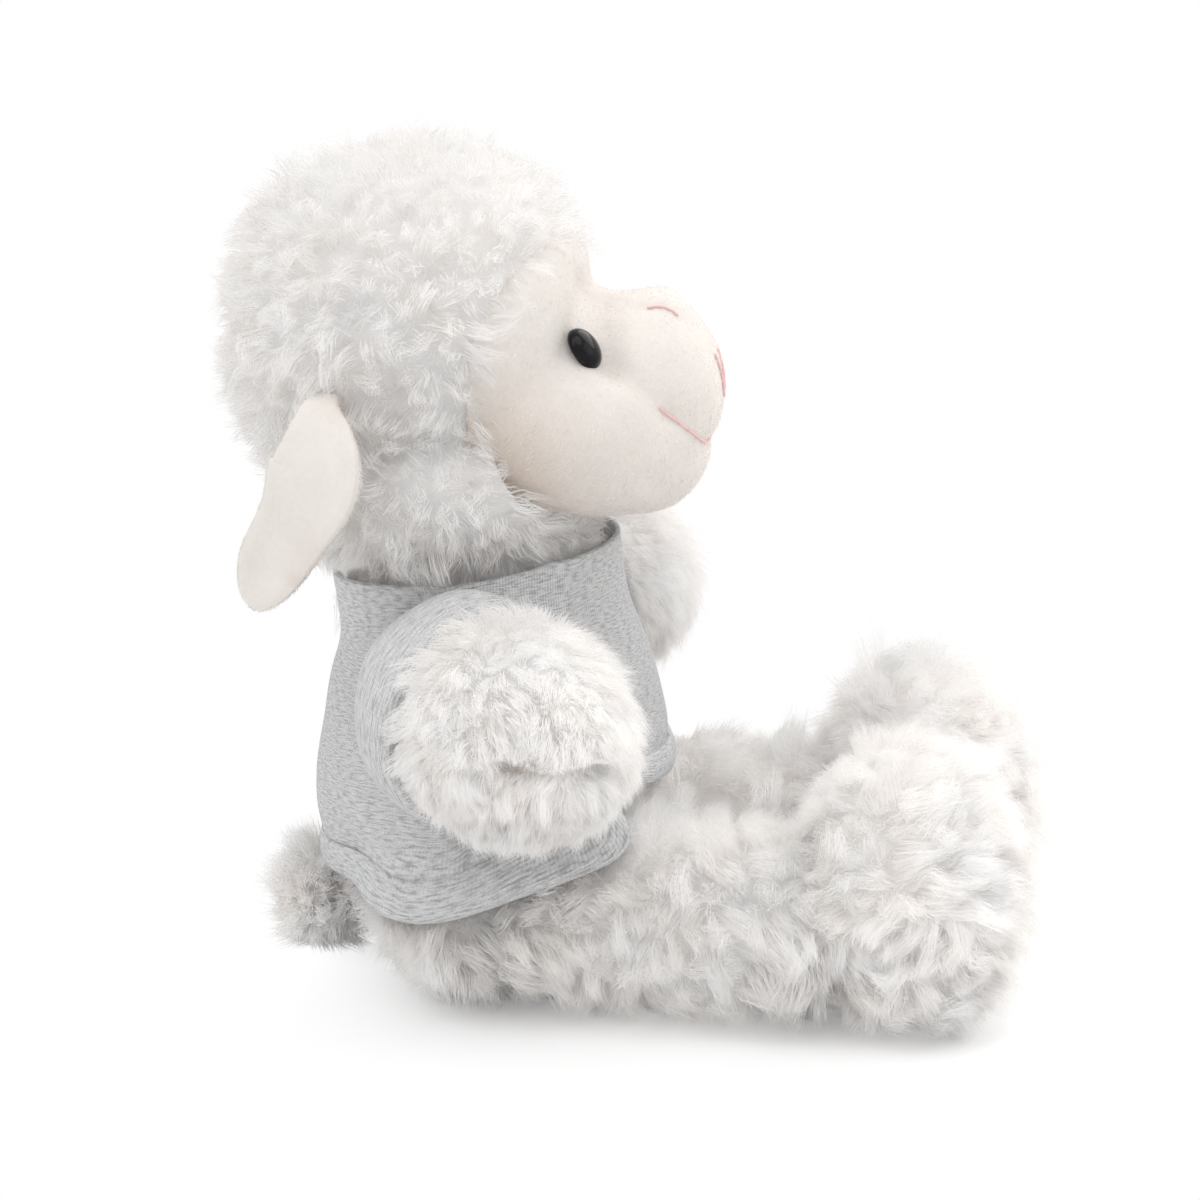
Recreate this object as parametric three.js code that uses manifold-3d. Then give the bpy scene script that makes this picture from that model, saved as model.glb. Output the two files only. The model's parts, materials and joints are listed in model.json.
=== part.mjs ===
import * as THREE from "three";
import { mergeVertices } from "three/addons/utils/BufferGeometryUtils.js";
import Module from "manifold-3d";

// Seated plush lamb in a T-shirt. Millimetres, +Z up, the lamb faces -Y and sits on Z = 0.

// Fineness of the stuffed forms and the gap between neighbouring pieces
const SIDES = 12;
const RINGS = 7;
const INNER_SIDES = 8;
const INNER_RINGS = 6;
const CLEAR = 0.4;
const ROUND_SIDES = 18;
const ROUND_RINGS = 6;
const TURN_EASE = 0.8;

// Thickness of each skin over its stuffing
const WOOL = 5;
const VELBOA = 1.8;
const BODY_FUR = 4;
const ARM_FUR = 4;
const LEG_FUR = 5;
const CLOTH = 1.6;
const HEM_THICK = 2.6;

// Torso
const TORSO_TOP = 104;
const TORSO_WIDTH = 88;
const TORSO_DEPTH = 82;
const TORSO_FORWARD = 3.5;
const SEAT_FORWARD = -1;
const FLAT_DEPTH = 0.5;
const BEAN_BAG_WIDTH = 40;
const BEAN_BAG_DEPTH = 30;
const BEAN_BAG_HEIGHT = 15;

// Neck: a dome on the torso inside a round socket in the head
const NECK_HEIGHT = 96;
const NECK_RADIUS = 33;
const NECK_ROOM = 3;
const NECK_HOLE = 13;

// Head
const SKULL_LENGTH = 82;
const SKULL_WIDTH = 80;
const SKULL_HEIGHT = 84;
const SKULL_FORWARD = -15;
const SKULL_RISE = 59;
const JAW_FRONT = 54;
const JAW_RISE = 38;
const JAW_WIDTH = 70;
const JAW_HEIGHT = 52;
const NOSE_FRONT = 56.5;
const NOSE_RISE = 44;
const NOSE_WIDTH = 47;
const NOSE_HEIGHT = 38;
const FACE_REAR = -2;
const FACE_WIDTH = 90;
const FACE_HEIGHT = 78;
const CHIN_RISE = 22;
const EYE_RADIUS = 5.3;
const EYE_SPREAD = 23;
const EYE_FORWARD = 28;
const EYE_RISE = 58;
const EYE_POST = 10;
const POST_RADIUS = 1.6;
const WASHER = 1.2;
const THREAD = 0.8;

// Ears
const EAR_LENGTH = 48;
const EAR_WIDTH = 24;
const EAR_LAYER = 1.4;
const EAR_FORWARD = -24;
const EAR_RISE = 49;

// Arms and sleeves
const SHOULDER_SPREAD = 49;
const SHOULDER_FORWARD = 6;
const SHOULDER_HEIGHT = 75;
const SHOULDER_RADIUS = 24.6;
const ARM_REACH = 50;
const ARM_SWEEP = 45;
const ARM_DROP = 0.12;
const ARM_GIRTH = 50;
const ARM_ROOT = 9;
const SLEEVE_LENGTH = 8;
const SLEEVE_ROOT = 7;

// Legs and feet
const HIP_SPREAD = 30;
const HIP_FORWARD = 2;
const LEG_RADIUS = 24;
const LEG_LENGTH = 92;
const LEG_SPLAY = 4;
const LEG_SWING = 60;
const FOOT_HEIGHT = 73;
const FOOT_DEPTH = 57;
const FOOT_WIDTH = 54;
const ANKLE_HOLE = 9;

// Tail
const TAIL_LENGTH = 13;
const TAIL_WIDTH = 27;
const TAIL_HEIGHT = 27;
const TAIL_RISE = 13.5;

// T-shirt
const COLLAR_BACK = 94;
const COLLAR_FRONT = 106;
const HEM_BACK = 26;
const HEM_SIDE = 25;
const HEM_FRONT = 46;
const HEM_BAND = 9;
const SIDE_SEAM_FORWARD = 4;
const THIGH_EASE = 1.2;

const FAR = 400;
const wasm = await Module();
wasm.setup();
const group = new THREE.Group();
const at = (x, forward, height) => new THREE.Vector3(x, -forward, height);

// Turns a closed geometry into a solid that can be cut and joined
function solidOf(geometry) {
  const bare = new THREE.BufferGeometry();
  bare.setAttribute("position", geometry.getAttribute("position"));
  bare.setIndex(geometry.getIndex());
  const welded = mergeVertices(bare, 1e-4);
  return new wasm.Manifold(new wasm.Mesh({
    numProp: 3,
    vertProperties: new Float32Array(welded.getAttribute("position").array),
    triVerts: new Uint32Array(welded.getIndex().array),
  }));
}

function geometryOf(solid) {
  const mesh = solid.getMesh();
  const geometry = new THREE.BufferGeometry();
  geometry.setAttribute("position", new THREE.BufferAttribute(mesh.vertProperties, 3));
  geometry.setIndex(new THREE.BufferAttribute(mesh.triVerts, 1));
  geometry.computeVertexNormals();
  return geometry;
}

// The main body of a cut form, without the slivers a cut can leave beside it
function mainBody(solid) {
  const bodies = solid.decompose();
  return bodies.reduce((best, body) => (body.volume() > best.volume() ? body : best));
}

function joined(solids) {
  return solids.reduce((sum, solid) => sum.add(solid));
}

// A stuffed form: a sphere drawn out along a spine, swelling and tapering from size to size.
// grow moves its whole surface out, or in where it is negative.
function stuffed(form, grow = 0) {
  const ends = form.spine.map((point) => point.clone());
  const last = ends.length - 1;
  const first = ends[1].clone().sub(ends[0]).normalize();
  const final = ends[last].clone().sub(ends[last - 1]).normalize();
  ends[0].addScaledVector(first, -grow);
  ends[last].addScaledVector(final, grow);
  const spine = new THREE.CatmullRomCurve3(ends);
  const halves = form.sizes.map(([wide, tall]) => new THREE.Vector2(wide / 2, tall / 2));
  const sizes = new THREE.SplineCurve(halves);
  const inner = grow < -1;
  const sides = inner ? INNER_SIDES : form.sides ?? SIDES;
  const rings = inner ? INNER_RINGS : form.rings ?? RINGS;
  const geometry = new THREE.SphereGeometry(1, sides, rings);
  const position = geometry.getAttribute("position");
  for (let i = 0; i < position.count; i += 1) {
    const along = THREE.MathUtils.clamp((1 + position.getY(i)) / 2, 0, 1);
    const reach = Math.hypot(position.getX(i), position.getZ(i));
    const swell = reach > 1e-6 ? Math.pow(reach, form.blunt) / reach : 0;
    const tangent = spine.getTangent(along);
    const tall = form.up.clone().addScaledVector(tangent, -form.up.dot(tangent)).normalize();
    const wide = tangent.clone().cross(tall);
    const size = sizes.getPoint(along);
    const point = spine.getPoint(along);
    point.addScaledVector(wide, position.getX(i) * swell * (size.x + grow));
    point.addScaledVector(tall, position.getZ(i) * swell * (size.y + grow));
    position.setXYZ(i, point.x, point.y, point.z);
  }
  return solidOf(geometry);
}

// A ball that stays round about the axis that it turns on
function ball(centre, radius, axis, inner = false) {
  const sides = inner ? INNER_SIDES : ROUND_SIDES;
  const rings = inner ? INNER_RINGS : ROUND_RINGS;
  const geometry = new THREE.SphereGeometry(radius, sides, rings);
  geometry.applyQuaternion(new THREE.Quaternion().setFromUnitVectors(new THREE.Vector3(0, 1, 0), axis));
  geometry.translate(centre.x, centre.y, centre.z);
  return solidOf(geometry);
}

function rod(from, to, radius, sides = 16) {
  const axis = to.clone().sub(from);
  const geometry = new THREE.CylinderGeometry(radius, radius, axis.length(), sides);
  const turn = new THREE.Quaternion();
  turn.setFromUnitVectors(new THREE.Vector3(0, 1, 0), axis.clone().normalize());
  geometry.applyQuaternion(turn);
  const middle = from.clone().add(to).multiplyScalar(0.5);
  geometry.translate(middle.x, middle.y, middle.z);
  return solidOf(geometry);
}

// Everything on the far side of a plane, seen along its normal
function beyond(point, normal) {
  const geometry = new THREE.BoxGeometry(FAR * 2, FAR * 2, FAR);
  geometry.translate(0, 0, FAR / 2);
  const turn = new THREE.Quaternion();
  turn.setFromUnitVectors(new THREE.Vector3(0, 0, 1), normal.clone().normalize());
  geometry.applyQuaternion(turn);
  geometry.translate(point.x, point.y, point.z);
  return solidOf(geometry);
}

// A block that runs across the whole lamb, drawn in side view as [forward, height] points
function acrossBlock(outline) {
  const shape = new THREE.Shape(outline.map((point) => new THREE.Vector2(point[0], point[1])));
  const geometry = new THREE.ExtrudeGeometry(shape, { depth: FAR, bevelEnabled: false, curveSegments: 8 });
  geometry.translate(0, 0, -FAR / 2);
  const side = new THREE.Matrix4().makeBasis(at(0, 1, 0), at(0, 0, 1), at(-1, 0, 0));
  geometry.applyMatrix4(side);
  return solidOf(geometry);
}

// Round thread or cord along a smooth line
function cord(points, radius, steps = 12) {
  const shape = new THREE.Shape();
  shape.absarc(0, 0, radius, 0, Math.PI * 2, false);
  const path = new THREE.CatmullRomCurve3(points);
  const round = { steps, extrudePath: path, bevelEnabled: false, curveSegments: 3 };
  return solidOf(new THREE.ExtrudeGeometry(shape, round));
}

function piece(name, solid, colour, roughness = 0.95) {
  const material = new THREE.MeshStandardMaterial({ color: colour, roughness, name });
  const mesh = new THREE.Mesh(geometryOf(solid), material);
  mesh.name = name;
  group.add(mesh);
}

const UP = at(0, 0, 1);
const AHEAD = at(0, 1, 0);
const ACROSS = at(1, 0, 0);
const ground = beyond(at(0, 0, 0), at(0, 0, -1));
const neck = at(0, 0, NECK_HEIGHT);

// Torso form, standing on its seat
const torsoForm = {
  spine: [
    at(0, SEAT_FORWARD, -FLAT_DEPTH),
    at(0, TORSO_FORWARD, TORSO_TOP / 2),
    at(0, TORSO_FORWARD - 3, TORSO_TOP),
  ],
  sizes: [
    [TORSO_WIDTH * 0.9, TORSO_DEPTH * 0.88],
    [TORSO_WIDTH, TORSO_DEPTH * 0.99],
    [TORSO_WIDTH * 0.98, TORSO_DEPTH],
    [TORSO_WIDTH * 0.88, TORSO_DEPTH * 0.9],
    [TORSO_WIDTH * 0.78, TORSO_DEPTH * 0.8],
  ],
  blunt: 0.55,
  up: AHEAD,
  sides: SIDES + 6,
  rings: RINGS + 2,
};

// Head forms over the neck
const skullForm = {
  spine: [
    at(0, SKULL_FORWARD - SKULL_LENGTH / 2, NECK_HEIGHT + SKULL_RISE),
    at(0, SKULL_FORWARD + SKULL_LENGTH / 2, NECK_HEIGHT + SKULL_RISE),
  ],
  sizes: [[SKULL_WIDTH, SKULL_HEIGHT], [SKULL_WIDTH, SKULL_HEIGHT]],
  blunt: 1,
  up: UP,
  sides: SIDES + 4,
  rings: RINGS + 2,
};
const jawForm = {
  spine: [at(0, -8, NECK_HEIGHT + JAW_RISE + 3), at(0, JAW_FRONT, NECK_HEIGHT + JAW_RISE - 1)],
  sizes: [
    [JAW_WIDTH * 0.95, JAW_HEIGHT],
    [JAW_WIDTH, JAW_HEIGHT],
    [JAW_WIDTH * 0.88, JAW_HEIGHT * 0.94],
    [JAW_WIDTH * 0.62, JAW_HEIGHT * 0.78],
  ],
  blunt: 0.75,
  up: UP,
};
const noseForm = {
  spine: [at(0, 12, NECK_HEIGHT + NOSE_RISE + 8), at(0, NOSE_FRONT, NECK_HEIGHT + NOSE_RISE)],
  sizes: [
    [NOSE_WIDTH * 1.05, NOSE_HEIGHT],
    [NOSE_WIDTH, NOSE_HEIGHT * 1.04],
    [NOSE_WIDTH * 0.82, NOSE_HEIGHT * 0.94],
  ],
  blunt: 0.7,
  up: UP,
};
const headForm = (grow) => joined([skullForm, jawForm, noseForm].map((form) => stuffed(form, grow)));

// Room that the shirt's collar needs under the head, kept round about the neck
const collarReach = NECK_RADIUS + TURN_EASE + CLOTH + TURN_EASE;
const collarTilt = at(0, COLLAR_BACK - COLLAR_FRONT, 2 * NECK_RADIUS).normalize();
const collarMiddle = at(0, 0, (COLLAR_BACK + COLLAR_FRONT) / 2);
const overCollar = beyond(collarMiddle, collarTilt);
const collarRoom = ball(neck, collarReach, UP)
  .subtract(ball(neck, NECK_RADIUS, UP))
  .subtract(beyond(at(0, 0, Math.max(COLLAR_BACK, COLLAR_FRONT) + NECK_ROOM), UP));
const neckRim = NECK_HEIGHT - 3;
const underRim = beyond(at(0, 0, neckRim), at(0, 0, -1));
const neckCore = NECK_RADIUS - WOOL;
const domeRadius = neckCore - TURN_EASE;

// Legs: a round hip, a straight thigh and an upright foot
function legForms(side) {
  const hipHeight = LEG_RADIUS - FLAT_DEPTH;
  const hip = at(side * HIP_SPREAD, HIP_FORWARD, hipHeight);
  const ankle = at(side * (HIP_SPREAD + LEG_SPLAY), HIP_FORWARD + LEG_LENGTH, hipHeight + 1);
  const leg = {
    spine: [at(side * HIP_SPREAD, HIP_FORWARD - 14, hipHeight), ankle.clone().add(at(side, 14, 0))],
    sizes: [
      [LEG_RADIUS * 1.96, LEG_RADIUS * 1.96],
      [LEG_RADIUS * 1.98, LEG_RADIUS * 1.98],
      [LEG_RADIUS * 1.98, LEG_RADIUS * 2.02],
    ],
    blunt: 0.5,
    up: UP,
  };
  const footMiddle = HIP_FORWARD + LEG_LENGTH + 12;
  const foot = {
    spine: [
      at(ankle.x + side, footMiddle - 2, -FLAT_DEPTH),
      at(ankle.x + side, footMiddle, FOOT_HEIGHT / 2),
      at(ankle.x + side * 2, footMiddle - 3, FOOT_HEIGHT),
    ],
    sizes: [
      [FOOT_WIDTH * 0.92, FOOT_DEPTH * 0.94],
      [FOOT_WIDTH, FOOT_DEPTH],
      [FOOT_WIDTH * 0.84, FOOT_DEPTH * 0.82],
    ],
    blunt: 0.7,
    up: AHEAD,
  };
  return { hip, ankle, leg, foot };
}
const legSolid = (forms, grow) => stuffed(forms.leg, grow)
  .add(ball(forms.hip, LEG_RADIUS + grow, ACROSS, grow < -1));

// Room that a leg needs in the torso and shirt as it swings down from rest
function legRoom(forms, gap) {
  const radius = LEG_RADIUS * 1.035 + gap;
  const reach = LEG_LENGTH * 0.8;
  const swing = THREE.MathUtils.degToRad(LEG_SWING);
  const level = forms.hip.clone().add(at(0, reach, 0));
  const lowered = forms.hip.clone().add(at(0, reach * Math.cos(swing), -reach * Math.sin(swing)));
  const between = acrossBlock([[-forms.hip.y, forms.hip.z], [-lowered.y, lowered.z], [-level.y, level.z]])
    .intersect(beyond(forms.hip.clone().add(at(radius, 0, 0)), at(-1, 0, 0)))
    .intersect(beyond(forms.hip.clone().add(at(-radius, 0, 0)), at(1, 0, 0)));
  const sides = gap > CLEAR ? INNER_SIDES : SIDES + 2;
  return joined([
    ball(forms.hip, radius, ACROSS, gap > CLEAR),
    rod(forms.hip, level, radius, sides),
    rod(forms.hip, lowered, radius, sides),
    between,
  ]);
}

// Arms: a round shoulder and a swept, tapering stub
function armForms(side) {
  const shoulder = at(side * SHOULDER_SPREAD, SHOULDER_FORWARD, SHOULDER_HEIGHT);
  const sweep = THREE.MathUtils.degToRad(ARM_SWEEP);
  const aim = at(side * Math.cos(sweep), Math.sin(sweep), -ARM_DROP).normalize();
  const arm = {
    spine: [
      shoulder.clone().addScaledVector(aim, -SHOULDER_RADIUS * 0.6),
      shoulder.clone().addScaledVector(aim, ARM_REACH),
    ],
    sizes: [
      [ARM_GIRTH * 0.86, ARM_GIRTH * 0.86],
      [ARM_GIRTH * 0.97, ARM_GIRTH * 0.97],
      [ARM_GIRTH * 0.96, ARM_GIRTH * 0.96],
      [ARM_GIRTH * 0.64, ARM_GIRTH * 0.64],
    ],
    blunt: 0.7,
    up: UP,
  };
  const axis = aim.clone().cross(UP).normalize();
  return { shoulder, aim, axis, arm };
}
const armSolid = (forms, grow) => stuffed(forms.arm, grow)
  .add(ball(forms.shoulder, SHOULDER_RADIUS + grow, forms.axis, grow < -1));
const sleeveReach = SHOULDER_RADIUS + CLEAR + CLOTH;

const rightLeg = legForms(-1);
const leftLeg = legForms(1);
const rightArm = armForms(-1);
const leftArm = armForms(1);
const hips = (gap) => legRoom(rightLeg, gap).add(legRoom(leftLeg, gap));

// Tail form, with a round root let into the back of the torso
const torsoBack = TORSO_FORWARD - TORSO_DEPTH / 2;
const tailRoot = at(0, torsoBack + 2, TAIL_RISE);
const tailForm = {
  spine: [at(0, torsoBack + 6, TAIL_RISE + 2), at(0, torsoBack - TAIL_LENGTH, TAIL_RISE - 1)],
  sizes: [
    [TAIL_WIDTH * 0.8, TAIL_HEIGHT * 0.8],
    [TAIL_WIDTH, TAIL_HEIGHT],
    [TAIL_WIDTH * 0.9, TAIL_HEIGHT * 0.95],
  ],
  blunt: 0.7,
  up: UP,
};
const tailReach = TAIL_WIDTH * 0.3;

// Torso skin, its stuffing and the weighted seat
const neckSeat = (grow) => beyond(at(0, 0, neckRim - NECK_ROOM + grow), UP);
const domeFoot = beyond(at(0, 0, NECK_HEIGHT - 20), at(0, 0, -1));
const torsoSolid = (grow) => stuffed(torsoForm, grow)
  .subtract(neckSeat(grow))
  .add(ball(neck, domeRadius + grow, UP, grow < -1).subtract(domeFoot))
  .subtract(beyond(at(0, 0, -grow), at(0, 0, -1)));
const armSocket = (forms, gap) => ball(forms.shoulder, sleeveReach + TURN_EASE + gap, forms.axis, gap > 0);
const sockets = (gap) => joined([
  armSocket(rightArm, gap),
  armSocket(leftArm, gap),
  hips(CLEAR + gap),
  ball(tailRoot, tailReach + TURN_EASE + gap, UP, gap > 0),
]);
const neckHoleFoot = neck.clone().add(at(0, 0, -10));
const neckHoleTop = neck.clone().add(at(0, 0, NECK_RADIUS));
const neckHole = (gap) => rod(neckHoleFoot, neckHoleTop, NECK_HOLE - gap, 12);
const torsoCore = (gap) => mainBody(torsoSolid(-BODY_FUR - gap)
  .add(neckHole(gap).intersect(ball(neck, domeRadius - gap, UP)))
  .subtract(sockets(BODY_FUR + gap)));
const bagForm = {
  spine: [at(0, -12, BODY_FUR), at(0, -12, BODY_FUR + BEAN_BAG_HEIGHT)],
  sizes: [[BEAN_BAG_WIDTH, BEAN_BAG_DEPTH], [BEAN_BAG_WIDTH * 0.9, BEAN_BAG_DEPTH * 0.9]],
  blunt: 0.6,
  up: AHEAD,
};
const bodyFur = mainBody(torsoSolid(0).subtract(sockets(0)).subtract(torsoCore(0)).subtract(neckHole(0)));
const beanBag = mainBody(stuffed(bagForm).intersect(torsoCore(CLEAR * 2)));
const bodyStuffing = mainBody(torsoCore(CLEAR).subtract(stuffed(bagForm, CLEAR)));
piece("body_fur", bodyFur, 0xf3f1ec);
piece("body_stuffing", bodyStuffing, 0xfbfbf8);
piece("bean_bag", beanBag, 0xd8d2c4);

// T-shirt over the torso, the collar and the thighs
const shirtRound = (grow) => joined([
  stuffed(torsoForm, CLEAR + grow),
  ball(neck, NECK_RADIUS + TURN_EASE + grow, UP).subtract(domeFoot),
  ball(rightLeg.hip, LEG_RADIUS + THIGH_EASE + grow, ACROSS),
  ball(leftLeg.hip, LEG_RADIUS + THIGH_EASE + grow, ACROSS),
  rod(rightLeg.hip, rightLeg.ankle, LEG_RADIUS + THIGH_EASE + grow, 14),
  rod(leftLeg.hip, leftLeg.ankle, LEG_RADIUS + THIGH_EASE + grow, 14),
]);
const shirtFront = TORSO_FORWARD + TORSO_DEPTH / 2;
function underHem(lift) {
  const line = new THREE.SplineCurve([
    new THREE.Vector2(torsoBack - 30, HEM_BACK + lift),
    new THREE.Vector2(torsoBack - 4, HEM_BACK + lift),
    new THREE.Vector2(torsoBack * 0.4, HEM_SIDE + lift),
    new THREE.Vector2(shirtFront * 0.2, HEM_SIDE + 1 + lift),
    new THREE.Vector2(shirtFront * 0.62, (HEM_SIDE + HEM_FRONT) / 2 + lift),
    new THREE.Vector2(shirtFront * 0.95, HEM_FRONT + lift),
    new THREE.Vector2(shirtFront * 1.03, HEM_FRONT + 1 + lift),
  ]);
  const outline = line.getPoints(16).map((point) => [point.x, point.y]);
  const end = outline[outline.length - 1];
  return acrossBlock([...outline, [end[0], FAR], [FAR, FAR], [FAR, -FAR], [outline[0][0], -FAR]]);
}
const armholes = armSocket(rightArm, 0).add(armSocket(leftArm, 0));
const tee = shirtRound(CLOTH).subtract(shirtRound(0)).subtract(overCollar).subtract(armholes)
  .subtract(hips(CLEAR)).subtract(underHem(HEM_BAND + CLEAR));
const seam = (forward, ahead) => beyond(at(0, forward, 0), at(0, ahead, 0));
piece("tee_front", mainBody(tee.intersect(seam(SIDE_SEAM_FORWARD + CLEAR / 2, 1))), 0xc4c5c8);
piece("tee_back", mainBody(tee.intersect(seam(SIDE_SEAM_FORWARD - CLEAR / 2, -1))), 0xc4c5c8);
const hem = shirtRound(HEM_THICK).subtract(shirtRound(0)).subtract(armholes).subtract(hips(CLEAR))
  .subtract(underHem(0)).intersect(underHem(HEM_BAND));
piece("tee_hem", mainBody(hem), 0xbfc0c4);

// Head: wool behind, short-pile panels in front, stuffing inside
const headSocket = ball(neck, neckCore, UP);
const faceForm = {
  spine: [at(0, FACE_REAR, NECK_HEIGHT + JAW_RISE + 6), at(0, NOSE_FRONT + 60, NECK_HEIGHT + JAW_RISE + 12)],
  sizes: [[FACE_WIDTH, FACE_HEIGHT], [FACE_WIDTH * 1.1, FACE_HEIGHT], [FACE_WIDTH * 1.1, FACE_HEIGHT]],
  blunt: 0.4,
  up: UP,
  sides: SIDES + 6,
};
const headBacking = headForm(0);
const collarBall = ball(neck, collarReach, UP);
const woolRound = stuffed(skullForm, WOOL).add(ball(neck, NECK_RADIUS, UP).subtract(underRim));
const wool = woolRound.subtract(headBacking).subtract(headSocket)
  .subtract(stuffed(faceForm, CLEAR)).subtract(collarRoom);
piece("head_wool", mainBody(wool), 0xf6f5f1);

// The last place where a line from a point leaves a solid
const probeSkin = new THREE.MeshBasicMaterial({ side: THREE.DoubleSide });
function leaves(solid, from, aim) {
  const hits = new THREE.Raycaster(from, aim).intersectObject(new THREE.Mesh(geometryOf(solid), probeSkin));
  return hits[hits.length - 1].point;
}
const faceRound = headForm(VELBOA);

// Eyes: a domed head on a barbed post that goes through the face to a washer
function eyeParts(side) {
  const aim = at(side * 0.5, 0.74, 0.45).normalize();
  const from = at(side * EYE_SPREAD, EYE_FORWARD, NECK_HEIGHT + EYE_RISE).addScaledVector(aim, -40);
  const seat = leaves(faceRound, from, aim);
  const turn = new THREE.Quaternion().setFromUnitVectors(new THREE.Vector3(0, 1, 0), aim);
  const turned = (profile, grow) => {
    const points = profile.map(([reach, depth]) => new THREE.Vector2(reach > 0 ? reach + grow : 0, depth));
    points[0].y -= grow;
    points[points.length - 1].y += grow;
    const geometry = new THREE.LatheGeometry(points, 10);
    geometry.applyQuaternion(turn);
    geometry.translate(seat.x, seat.y, seat.z);
    return solidOf(geometry);
  };
  const r = EYE_RADIUS;
  const stem = [[0, -EYE_POST - 1], [POST_RADIUS, -EYE_POST], [POST_RADIUS, -1]];
  const rim = [[r * 0.94, -0.9], [r, 0], [r * 0.97, r * 0.22]];
  const crown = [[r * 0.78, r * 0.55], [r * 0.42, r * 0.74], [0, r * 0.8]];
  const dome = [...stem, ...rim, ...crown];
  const behind = -EYE_POST / 2;
  const washer = [[0, behind - WASHER], [r * 0.8, behind - WASHER], [r * 0.8, behind], [0, behind]];
  const post = [[0, -EYE_POST - 2], [POST_RADIUS, -EYE_POST - 2], [POST_RADIUS, 0], [0, 0]];
  return {
    eye: turned(dome, 0),
    washer: turned(washer, 0).subtract(turned(post, CLEAR)),
    room: turned(dome, CLEAR).add(turned(washer, CLEAR)),
  };
}
const rightEye = eyeParts(-1);
const leftEye = eyeParts(1);
const eyeRoom = rightEye.room.add(leftEye.room);

// Embroidery laid along the face: nostrils, the line under the nose and the mouth
function onFace(points) {
  const from = at(0, 20, NECK_HEIGHT + NOSE_RISE - 6);
  return points.map(([x, forward, rise]) => {
    const aim = at(x, forward, NECK_HEIGHT + rise).sub(from).normalize();
    return leaves(faceRound, from, aim);
  });
}
const nostrilLine = (side) => onFace([[side * 9, 38, 64], [side * 8.4, 43, 63], [side * 7.6, 48, 60]]);
const noseLine = onFace([[0, 56, 54], [0, 57, 49], [0, 57, 45]]);
const mouthHalf = [[5, 55, 34], [12, 51, 39], [19, 44, 46]];
const mouthLine = onFace([
  ...mouthHalf.map(([x, forward, rise]) => [-x, forward, rise]).reverse(),
  [0, 56, 33],
  ...mouthHalf,
]);
const threads = {
  right_nostril_stitch: [nostrilLine(-1), 5],
  left_nostril_stitch: [nostrilLine(1), 5],
  nose_stitch: [noseLine, 4],
  mouth_stitch: [mouthLine, 14],
};
const past = (end, before) => end.clone().addScaledVector(end.clone().sub(before).normalize(), CLEAR);
const threadRoom = joined(Object.values(threads).map(([line, steps]) => {
  const last = line.length - 1;
  const longer = [past(line[0], line[1]), ...line.slice(1, last), past(line[last], line[last - 1])];
  return cord(longer, THREAD + CLEAR, steps);
}));

// Face panels: the muzzle above the mouth line, a cheek on each side and the chin
const faceShell = faceRound.subtract(headBacking).intersect(stuffed(faceForm, 0))
  .subtract(collarBall).subtract(eyeRoom).subtract(threadRoom);
const mouthHeight = NECK_HEIGHT + NOSE_RISE - NOSE_HEIGHT * 0.46;
const muzzleBlock = (gap) => acrossBlock([
  [JAW_FRONT * 0.6 - gap, NECK_HEIGHT + 200],
  [JAW_FRONT * 0.6 - gap, NECK_HEIGHT + NOSE_RISE + 8],
  [NOSE_FRONT * 0.82, mouthHeight + 6 - gap],
  [NOSE_FRONT + 30, mouthHeight - 4 - gap],
  [NOSE_FRONT + 30, NECK_HEIGHT + 200],
]);
const chinBlock = (gap) => acrossBlock([
  [-60, NECK_HEIGHT + CHIN_RISE + 4 + gap],
  [NOSE_FRONT + 30, NECK_HEIGHT + CHIN_RISE - 2 + gap],
  [NOSE_FRONT + 30, -60],
  [-60, -60],
]);
const cheeks = faceShell.subtract(muzzleBlock(CLEAR)).subtract(chinBlock(CLEAR));
const half = (side) => beyond(at(side * CLEAR / 2, 0, 0), at(side, 0, 0));
piece("muzzle_panel", mainBody(faceShell.intersect(muzzleBlock(0))), 0xf3ece4);
piece("chin_panel", mainBody(faceShell.intersect(chinBlock(0)).subtract(muzzleBlock(CLEAR))), 0xf3ece4);
piece("right_cheek_panel", mainBody(cheeks.intersect(half(-1))), 0xf3ece4);
piece("left_cheek_panel", mainBody(cheeks.intersect(half(1))), 0xf3ece4);
piece("head_stuffing", mainBody(headForm(-CLEAR).subtract(collarBall).subtract(eyeRoom)), 0xfbfbf8);
piece("right_eye", rightEye.eye, 0x0b0b0d, 0.12);
piece("left_eye", leftEye.eye, 0x0b0b0d, 0.12);
piece("right_eye_washer", mainBody(rightEye.washer), 0xf0f0ea, 0.5);
piece("left_eye_washer", mainBody(leftEye.washer), 0xf0f0ea, 0.5);
for (const [name, [line, steps]] of Object.entries(threads)) {
  piece(name, cord(line, THREAD, steps), 0xe9a6aa, 0.7);
}

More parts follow.
